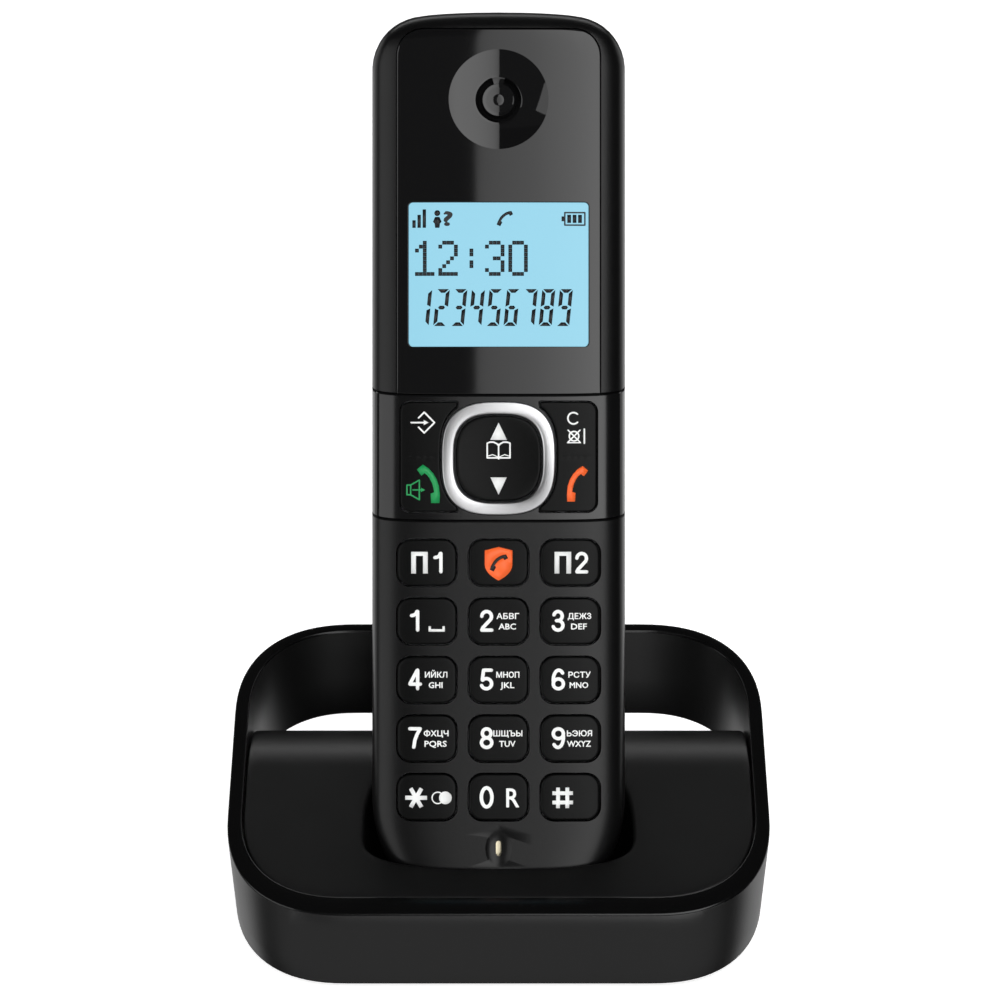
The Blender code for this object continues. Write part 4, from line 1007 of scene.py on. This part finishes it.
def function_legends():
    v = NAV_CENTRE

    def top(x, z):
        return face(x, z) - ROCKER_PROUD

    # the navigation pad: two arrows and an open book
    shapes = [placed(0, v, [(0, 6.6), (-1.55, 3.4), (1.55, 3.4)]), placed(0, v, [(0, -6.7), (1.5, -3.5), (-1.5, -3.5)])]
    page = ((0, 0.1), (2.1, 0.1), (2.1, 2.8), (1.6, 3.0), (0.9, 3.0), (0.3, 2.7), (0, 2.3))
    cover = ((1.9, 0.45), (1.1, 0.7), (0.2, 0.3))
    for side in (-1, 1):
        for line, width in ((page, 0.28), (cover, 0.168)):
            shapes += drawn(0, v, width, [(side * a, b) for a, b in line])
    shapes += drawn(0, v, 0.28, [(0, -0.1), (0, 2.6)])
    marks("mark_navigation", "nav_key", WHITE_INK, pad_face, shapes)
    # the left key: an arrow into a diamond, a green receiver and a loudspeaker
    x, z = -0.0137, v + 0.0066
    shapes = drawn(x, z, 0.3, [(-1.045, 0.855), (0, 1.9), (1.9, 0), (0, -1.9), (-1.045, -0.855)])
    shapes += drawn(x, z, 0.3, [(-2.4, 0), (0.2, 0)])
    shapes.append(placed(x, z, [(0.8, 0), (-0.1, 0.5), (-0.1, -0.5)]))
    marks("mark_left_key", "rocker_key_left", WHITE_INK, top, shapes)
    shapes = [receiver(-0.0129, v - 0.0047, 1.08, mirrored=True)]
    x, z = -0.0157, v - 0.0058
    cone = [(-1.2, 0.9), (-0.5, 0.9), (1.1, 1.8), (1.1, -1.8), (-0.5, -0.9), (-1.2, -0.9)]
    shapes += drawn(x, z, 0.26, cone, closed=True)
    shapes += drawn(x, z, 0.24, [(-0.5, 0.9), (-0.5, -0.9)]) + drawn(x, z, 0.24, [(-0.1, 0), (1.7, 0)])
    shapes.append(placed(x, z, [(2.2, 0), (1.4, 0.4), (1.4, -0.4)]))
    marks("mark_talk", "rocker_key_left", GREEN_INK, top, shapes)
    # the right key: C, a ringer that is off, and an orange receiver
    shapes = stroke(arc(0.0138, v + 0.0074, 0.00105, 45, 315, 16), 0.0003)
    x, z = 0.0139, v + 0.0041
    shapes += stroke(arc(x, z, 0.00088, 0, 345, 18), 0.00028, closed=True)
    for side in (-1, 1):
        shapes += drawn(x, z, 0.26, [(-1.1, -1.1 * side), (1.1, 1.1 * side)])
    shapes += drawn(x, z, 0.22, [(-1.2, -1.2), (1.2, -1.2)]) + drawn(x, z, 0.30, [(1.9, -1.3), (1.9, 1.3)])
    marks("mark_right_key", "rocker_key_right", WHITE_INK, top, shapes)
    marks("mark_end", "rocker_key_right", ORANGE_INK, top, [receiver(0.0145, v - 0.0047, 1.0)])


def receiver(x, z, size, mirrored=False, lean=0.0):
    """The outline of a tall receiver: a bowed grip between an ear piece and a mouth piece."""
    inner = [(1.0, 3.29), (2.0, 2.46), (1.23, 1.40), (0.67, 1.83), (0.25, 1.5), (-0.1, 1.05), (-0.6, 0.1)]
    inner += [(-0.85, -0.8), (-0.95, -1.43)]
    outer = [(-0.33, -1.66), (-0.43, -3.26), (-1.86, -3.26), (-1.92, -2.0), (-1.78, -0.4), (-1.38, 0.8)]
    outer += [(-0.72, 1.9), (0.1, 2.75)]
    side, c, s = -1 if mirrored else 1, cos(radians(-lean)), sin(radians(-lean))
    points = [(x + side * (a * c - b * s) * size / 1000, z + (a * s + b * c) * size / 1000) for a, b in inner + outer]
    return points[::-1] if mirrored else points


DOTS = {
    "1": ("00100", "01100", "10100", "00100", "00100", "00100", "00100", "00100", "11111"),
    "2": ("01110", "10001", "00001", "00001", "00010", "00100", "01000", "10000", "11111"),
    "3": ("01110", "10001", "00001", "00001", "00110", "00001", "00001", "10001", "01110"),
    "0": ("01110", "10001", "10001", "10001", "10001", "10001", "10001", "10001", "01110"),
    ":": ("00000", "00000", "00100", "00100", "00000", "00100", "00100", "00000", "00000"),
}
SEGMENTS = {
    "1": "bc", "2": "abged", "3": "abgcd", "4": "fgbc", "5": "afgcd", "6": "afgcde", "7": "abc", "8": "abcdefg",
    "9": "abcdfg",
}


def display_marks():
    def film(x, z):
        return glass(x, z) + 0.00010

    foot = 0.1273  # where the row of icons stands
    shapes = bars(-0.0159, foot, (0, 0.62, 0, 1.4), (0.95, 1.57, 0, 2.4), (1.90, 2.52, 0, 3.4))
    body = [(-0.8, 1.1), (-0.4, 2.0), (0.4, 2.0), (0.8, 1.1), (0.5, 0.8), (0.4, 0), (-0.4, 0), (-0.5, 0.8)]
    shapes += [circle(-0.0113, foot + 0.0027, 0.00055, 14), placed(-0.0113, foot, body)]
    shapes.append(receiver(0.0012, 0.12905, 0.52, lean=24))
    shapes += drawn(0.0122, foot, 0.28, bar(0, 3.7, 0.5, 2.8), closed=True)
    shapes += bars(0.0122, foot, (-0.6, 0, 1.2, 2.1), *((x, x + 0.7, 0.9, 2.4) for x in (0.45, 1.45, 2.45)))
    marks("display_icons", "handset", BLACK_INK, film, shapes, words=[("?", 0.0024, -0.0093, 0.1290, 0.0003, 0.0014)])
    dot, pitch = 0.00070, 0.00072
    shapes = []
    for index, character in enumerate("12:30"):
        for row, line in enumerate(DOTS[character]):
            for column, on in enumerate(line):
                if on == "1":
                    x, z = -0.0154 + index * 0.0043 + column * pitch, 0.1242 - row * pitch
                    shapes.append(bar(x, x + dot, z, z + dot))
    marks("display_text", "handset", BLACK_INK, film, shapes)
    shapes = []
    for index, character in enumerate("123456789"):
        shapes += digit_segments(character, -0.0153 + index * 0.00324, 0.1092)
    marks("display_digits", "handset", BLACK_INK, film, shapes)


def digit_segments(character, x, z):
    """Slanted seven-segment bars."""
    wide, tall, bar, slant, space = 0.0024, 0.0068, 0.00068, 0.10, 0.00016
    half = tall / 2
    bars = {
        "a": [(space, tall), (wide - space, tall), (wide - bar - space, tall - bar), (bar + space, tall - bar)],
        "d": [(space, 0), (bar + space, bar), (wide - bar - space, bar), (wide - space, 0)],
        "g": [(space * 3.5, half), (bar + space, half + bar / 2), (wide - bar - space, half + bar / 2),
              (wide - space * 3.5, half), (wide - bar - space, half - bar / 2), (bar + space, half - bar / 2)],
        "f": [(0, tall - space), (bar, tall - bar - space), (bar, half + bar / 2 + space), (0, half + space)],
        "e": [(0, half - space), (bar, half - bar / 2 - space), (bar, bar + space), (0, space)],
    }
    for mirrored, source in (("b", "f"), ("c", "e")):
        bars[mirrored] = [(wide - a, b) for a, b in bars[source]]
    return [[(x + a + slant * b, z + b) for a, b in bars[s]] for s in SEGMENTS[character]]


# ---------------------------------------------------------------- base
def rim_height(depth):
    return HOOP_FOOT + HOOP_HEIGHT + depth * HOOP_SLOPE


def hoop_outline(side, front_inset, back_inset, segments=22, straight=6):
    """The hoop's plan, inset by so much at its sides, front and back, with points on its straight runs too."""
    half = HOOP_HALF_WIDTH - side
    front, back = front_inset, HOOP_DEPTH - back_inset
    radius = HOOP_RADIUS - side
    corners = []
    spots = ((1, back - radius), (-1, back - radius), (-1, front + radius), (1, front + radius))
    for quarter, (sx, y) in enumerate(spots):
        corners.append([
            (sx * (half - radius) + radius * bent(cos(t), HOOP_EXPONENT),
             y + radius * bent(sin(t), HOOP_EXPONENT))
            for t in quarter_turns(quarter, segments)
        ])
    points = []
    for corner, following in zip(corners, corners[1:] + corners[:1]):
        points += corner
        (ax, ay), (bx, by) = corner[-1], following[0]
        points += [(ax + (bx - ax) * i / straight, ay + (by - ay) * i / straight) for i in range(1, straight)]
    return points


def tilted_loop(insets, drop):
    draft = max(drop, 0) * HOOP_DRAFT
    deeper = 0.08  # the wall is a little taller behind the deck
    return [
        (x, y, rim_height(y) - drop * (1 + deeper * min(1.0, max(0.0, (y - 0.040) / 0.025))))
        for x, y in hoop_outline(*(i + draft for i in insets))
    ]


def hoop():
    """The wall, and the gloss rim on top of it as a piece of its own."""
    walls = HOOP_WALLS
    low, cap, edge, line = HOOP_HEIGHT, 0.0004, 0.0003, 0.00004
    turns = quarter_turns(0, 4)
    loops = [tilted_loop((edge * (1 - sin(t)),) * 3, low - edge * (1 - cos(t))) for t in turns]
    loops += [tilted_loop((0, 0, 0), low * f) for f in (0.75, 0.5, 0.25)]
    loops += [tilted_loop((0, 0, 0), cap + line), tilted_loop((line,) * 3, cap)]
    loops += [tilted_loop(walls, cap)]
    loops += [tilted_loop(walls, low * f) for f in (0.25, 0.5, 0.75, 0.98)]
    loops += [tilted_loop(tuple(w - 0.0003 for w in walls), low)]
    finish_mesh("hoop", loft(loops, ring=True), BASE_PLASTIC, "root", ["base_hoop"], BASE, 40)
    loops = [tilted_loop((line,) * 3, cap), tilted_loop((0, 0, 0), cap - line)]
    loops += [tilted_loop((edge * (1 - cos(t)),) * 3, edge * (1 - sin(t))) for t in turns]
    loops += [tilted_loop(tuple(w * 0.5 for w in walls), 0)]
    for t in reversed(turns):
        loops.append(tilted_loop(tuple(w - edge * (1 - cos(t)) for w in walls), edge * (1 - sin(t))))
    loops += [tilted_loop(walls, cap)]
    finish_mesh("hoop_rim", loft(loops, ring=True), RIM_GLOSS, "root", matrix=BASE, sharp=40)


def bisect(low, high, short):
    """The last middle tried between low and high, where short(value) stops being true."""
    for _ in range(50):
        middle = (low + high) / 2
        if short(middle):
            low = middle
        else:
            high = middle
    return middle


def crest_line():
    """The crest's profile: where its front and rear arcs begin and the slope of the fall behind them."""
    deck, turn = atan(HOOP_SLOPE), radians(20)
    start = CREST_DEPTH - CREST_FRONT * sin(deck) + CREST_SHIFT
    centre = (start + CREST_FRONT * sin(deck), rim_height(start) - DECK_DROP - CREST_FRONT * cos(deck))
    mid = (centre[0] + CREST_FRONT * sin(turn), centre[1] + CREST_FRONT * cos(turn))
    rear = (mid[0] - CREST_REAR * sin(turn), mid[1] - CREST_REAR * cos(turn))

    def leaves(slope):
        return rear[0] + CREST_REAR * sin(slope), rear[1] + CREST_REAR * cos(slope)

    def too_flat(slope):
        y, z = leaves(slope)
        return z - (BODY_BACK - y) * tan(slope) > BACK_WALL_TOP

    slope = bisect(turn, radians(85), too_flat)
    return start, centre, mid[0], rear, leaves(slope)[0], slope


def deck_height(depth):
    """The cradle's top: a slope, a broad round crest and a steep fall behind it."""
    start, centre, middle, rear, end, slope = CREST_LINE
    if depth < start:
        return rim_height(depth) - DECK_DROP
    if depth < middle:
        return centre[1] + sqrt(CREST_FRONT**2 - (depth - centre[0]) ** 2)
    if depth < end:
        return rear[1] + sqrt(CREST_REAR**2 - (depth - rear[0]) ** 2)
    return BACK_WALL_TOP + (BODY_BACK - depth) * tan(slope)


CREST_LINE = crest_line()


def cradle_row(inset, height):
    """The cradle's outline where its drafted walls reach height(depth), cut off by its back wall."""
    back = BODY_BACK - inset
    plain = hoop_outline(*(wall + GAP + inset for wall in HOOP_WALLS))
    row = []
    for (x, y), (ox, oy) in zip(plain, offset(plain, 1.0)):
        z = height(min(y, back))
        draft = max(rim_height(min(y, back)) - z, 0) * HOOP_DRAFT
        row.append((x + (ox - x) * draft, min(y + (oy - y) * draft, back), z))
    return row


def pocket_outline(grow, count=96):
    points = []
    for i in range(count):
        t = 2 * pi * i / count
        c, s = cos(t), sin(t)
        depth, exponent = (POCKET_FRONT, 3.0) if s < 0 else (POCKET_BACK, BACK_EXPONENT)
        x = (POCKET_HALF_WIDTH + grow) * bent(c, exponent)
        points.append((x, POCKET_CENTRE + (depth + grow) * bent(s, exponent)))
    return points


def pocket_row(grow, height):
    """The pocket's outline where its leaning walls reach height(depth)."""
    row = []
    for px, py in pocket_outline(grow):
        def spot(s, py=py):
            """Depth and height at a distance s up the leaning wall."""
            return (HANDSET_FRONT + py * cos(LEAN) + s * sin(LEAN),
                    HANDSET_FOOT_Z - py * sin(LEAN) + s * cos(LEAN))

        y, z = spot(bisect(-0.030, 0.060, lambda s: spot(s)[1] < height(spot(s)[0])))
        row.append((px, y, z))
    return row


def cradle():
    bm = bmesh.new()
    edge, mouth = 0.00045, 0.0008
    turns = quarter_turns(0, 5)
    foot, top_low = cradle_row(0.0, lambda y: BODY_BOTTOM), cradle_row(0.0, lambda y: deck_height(y) - edge)
    outer = [[tuple(a + (b - a) * f for a, b in zip(*pair)) for pair in zip(foot, top_low)] for f in (0.0, 0.33, 0.66)]
    for t in turns:
        drop = edge * (1 - sin(t))
        outer.append(cradle_row(edge * (1 - cos(t)), lambda y: deck_height(y) - drop))
    outer_rows = skin(bm, outer)
    bm.faces.new(outer_rows[0])
    hole = [pocket_row(0.0, lambda y: POCKET_FLOOR), pocket_row(0.0, lambda y: deck_height(y) - POCKET_WALL_TOP)]
    for t in turns:
        drop = mouth * (1 - sin(t))
        hole.append(pocket_row(mouth * (1 - cos(t)), lambda y: deck_height(y) - drop))
    hole_rows = skin(bm, hole)
    bm.faces.new(hole_rows[0])

    def flat(spot):
        return spot.x, spot.y

    rims = [outer_rows[-1], hole_rows[-1]]
    loops = [[flat(v.co) for v in rim] for rim in rims]
    grid, step = [], 0.0016
    inner = [offset(loops[0], step * 0.5), offset(loops[1], -step * 0.5)]
    for j in range(60):
        y = 0.002 + j * step * 0.62
        for i in range(64):
            x = -0.050 + (i + 0.5 * (j % 2)) * step
            if sum(inside(x, y, loop) for loop in inner) % 2:
                grid.append((x, y))
    fill_sheet(bm, rims, grid, flat, lambda x, y: (x, y, deck_height(y)))
    bmesh.ops.remove_doubles(bm, verts=bm.verts, dist=1e-7)
    bmesh.ops.holes_fill(bm, edges=[e for e in bm.edges if e.is_boundary], sides=0)
    body = hollow_and_drill(bm)
    finish_mesh("cradle", body, BASE_PLASTIC, "root", ["cradle_deck"], BASE, 35)


def block(low, high):
    (x0, y0, z0), (x1, y1, z1) = low, high
    return prism_z(bar(x0, x1, y0, y1), z0, z1)


SCREW_SPOTS = ((-0.036, 0.0150), (0.036, 0.0150), (-0.036, 0.0455), (0.036, 0.0455))


def hollow_and_drill(body):
    """Makes the cradle a shell that is open below, with its bosses, sockets and slots."""
    wall, pocket_wall = 0.0018, 0.0015
    inner = loft([cradle_row(wall, lambda y: -0.010), cradle_row(wall, lambda y: deck_height(y) - wall)])
    pocket = [pocket_row(pocket_wall, lambda y: POCKET_FLOOR - 0.0012)]
    pocket.append(pocket_row(pocket_wall, lambda y: deck_height(y) + 0.004))
    bosses = [prism_z(circle(x, y, 0.003, 24), BODY_BOTTOM, 0.040) for x, y in SCREW_SPOTS]
    body = cut(body, cut(inner, join(loft(pocket), *bosses)))
    tools = [prism_z(circle(x, y, 0.0013, 24), -0.001, 0.0115) for x, y in SCREW_SPOTS]
    for x in (-CONTACT_X, CONTACT_X):
        tools.append(block((x - 0.0011, 0.0121, 0.008), (x + 0.0011, 0.0165, 0.011)))
    for left, right, low, high in (LINE_JACK, POWER_JACK):
        tools.append(block((left - GAP, 0.056, low - GAP), (right + GAP, 0.062, high + GAP)))
    tools += [prism_y(circle(0, PAGE_BUTTON_Z, 0.0043, 24), 0.055, 0.062)]
    return cut(body, join(*tools))


# ---------------------------------------------------------------- finishes of the CAD nodes that stay
FINISHES = {
    "foot": RUBBER, "screw": STEEL, "circuit_board": BOARD, "battery_cell": CELL, "battery_door": SATIN,
    "rear_housing": SATIN, "jack": SATIN, "bottom_cover": BASE_PLASTIC, "page_button": KEYCAP,
    "display_panel": LCD, "keypad_mat": SILICONE,
}


def dress_nodes():
    """Every CAD node's material, by a part of its name. The rest are contacts and other plated parts."""
    for name, obj in NODES.items():
        obj.data.materials.clear()
        obj.data.materials.append(next((finish for part, finish in FINISHES.items() if part in name), CONTACT))
        if not obj.hide_render:
            obj.data.shade_smooth()
            obj.data.set_sharp_from_angle(angle=radians(35))


# ---------------------------------------------------------------- studio
def card(name, centre, size, facing, strength, gradient=None):
    """A glowing card that the camera doesn't see. Its strength may rise from its left edge."""
    bm = bmesh.new()
    w, h = size[0] / 2, size[1] / 2
    bm.faces.new([bm.verts.new((x, y, 0)) for x, y in bar(-w, w, -h, h)])
    obj = mesh_object(name, bm)
    aim(obj, centre, facing)
    made, tree, shader = new_material(name)
    tree.nodes.remove(shader)
    if gradient:
        split = node(tree, "SeparateXYZ", Vector=node(tree, "TexCoord", "Object"))
        curve = node(tree, "FloatCurve", Value=calc(tree, "ADD", split.outputs["X"], w))
        line = curve.mapping.curves[0]
        for x, y in gradient[1:-1]:
            line.points.new(x, y)
        for point, place in zip((line.points[0], line.points[-1]), (gradient[0], gradient[-1])):
            point.location = place
        curve.mapping.update()
        strength = calc(tree, "MULTIPLY", curve.outputs["Value"], strength)
    glow = node(tree, "Emission", "Emission", Strength=strength)
    settle(tree.nodes["Material Output"], Surface=glow)
    obj.data.materials.append(made)
    obj.visible_camera = False
    obj.visible_shadow = False


def aim(obj, place, direction):
    obj.location = place
    obj.rotation_mode = "QUATERNION"
    obj.rotation_quaternion = Vector(direction).to_track_quat("-Z", "Y")


def area(name, location, target, size, glow, glossy=True):
    """A soft box whose surface shines with the brightness glow."""
    light = bpy.data.lights.new(name, "AREA")
    light.shape = "RECTANGLE"
    light.size, light.size_y = size
    light.energy = glow * pi * size[0] * size[1]
    obj = new_object(name, light)
    aim(obj, location, Vector(target) - Vector(location))
    obj.visible_glossy = glossy
    obj.visible_camera = False


VIEW_TILT = radians(20.0)  # how far the camera looks down


def studio():
    scene = bpy.context.scene
    scene.view_settings.view_transform = "Standard"
    scene.view_settings.look = "None"
    world = bpy.data.worlds.new("studio")
    world.use_nodes = True
    settle(world.node_tree.nodes["Background"], Color=(1, 1, 1, 1), Strength=0.03)
    scene.world = world
    # a pale floor that curves up into the backdrop
    bm = bmesh.new()
    profile = [(-3.0, 0.0), (1.2, 0.0)]
    profile += [(1.2 + 0.6 * sin(t), 0.6 - 0.6 * cos(t)) for t in quarter_turns(0, 16)[1:]]
    profile.append((1.8, 3.5))
    rows = [[bm.verts.new((x, y, z)) for y, z in profile] for x in (-4.0, 4.0)]
    for i in range(len(profile) - 1):
        bm.faces.new((rows[0][i], rows[0][i + 1], rows[1][i + 1], rows[1][i]))
    floor = mesh_object("floor", bm)
    floor.data.shade_smooth()
    made, _, shader = new_material("floor_white")
    settle(shader, Base_Color=(0.9, 0.9, 0.9, 1), Roughness=0.9, Specular_IOR_Level=0.0)
    settle(shader, Emission_Color=(1, 1, 1, 1), Emission_Strength=0.75)
    floor.data.materials.append(made)
    floor.visible_glossy = False
    floor.visible_diffuse = False
    floor.visible_shadow = False
    camera = bpy.data.cameras.new("camera")
    camera.lens, camera.sensor_width = 137.8, 36.0
    camera.shift_x = 0.0014
    camera.clip_start, camera.clip_end = 0.05, 20.0
    obj = new_object("camera", camera)
    obj.location = (0, FRONT_Y - 0.6274, 0.32465)
    obj.rotation_euler = (radians(90) - VIEW_TILT, 0, 0)
    scene.camera = obj
    centre = Vector((0, 0.02, 0.09))
    view_line = Vector((0, -cos(VIEW_TILT), sin(VIEW_TILT)))
    behind = centre + view_line * 1.4
    # the window mirrors this card's left edge down its middle
    width, left = 1.0, -0.0135
    rise = [(0.0, 0.44), (0.013, 0.52), (0.04, 0.62), (0.08, 0.72), (0.17, 0.82), (0.40, 0.95), (0.60, 1.0)]
    rise += [(0.85, 1.0), (1.0, 0.75)]
    raised = behind + 0.45 * Vector((0, sin(LEAN), cos(LEAN)))
    card("card_right", (left + width / 2, raised.y, raised.z), (width, 2.4), -view_line, 3.0, rise)
    card("card_left", (left - width / 2, behind.y, behind.z), (width, 1.5), -view_line, 0.07)
    card("card_low", (0.0, -0.65, -0.52), (2.4, 0.8), (0, 0.75, 0.6), 0.52)
    card("card_low_rear", (0.0, 0.75, -0.48), (2.4, 1.1), (0, -0.75, 0.6), 0.80)
    area("left", (-1.0, -0.62, 0.30), (0, 0, 0.08), (1.1, 1.2), 1.5)
    for side, name in ((-1, "rear_left"), (1, "rear_right")):
        area(name, (side * 0.95, 0.62, -0.10), (0, 0, 0.05), (1.0, 1.5), 0.85)
    area("back", (0.0, 0.96, 0.95), (0, 0, 0.05), (1.6, 0.24), 2.4)
    area("fill", (0.0, -1.2, 0.8), (0, 0.0, 0.08), (1.0, 1.0), 3.0, glossy=False)


# ---------------------------------------------------------------- assembly
handset_front()
nav_band()
rockers()
keycaps()
display_window()
rear_shell()
door_panel()
key_legends()
function_legends()
display_marks()
hoop()
cradle()
page_key()
dress_nodes()
studio()
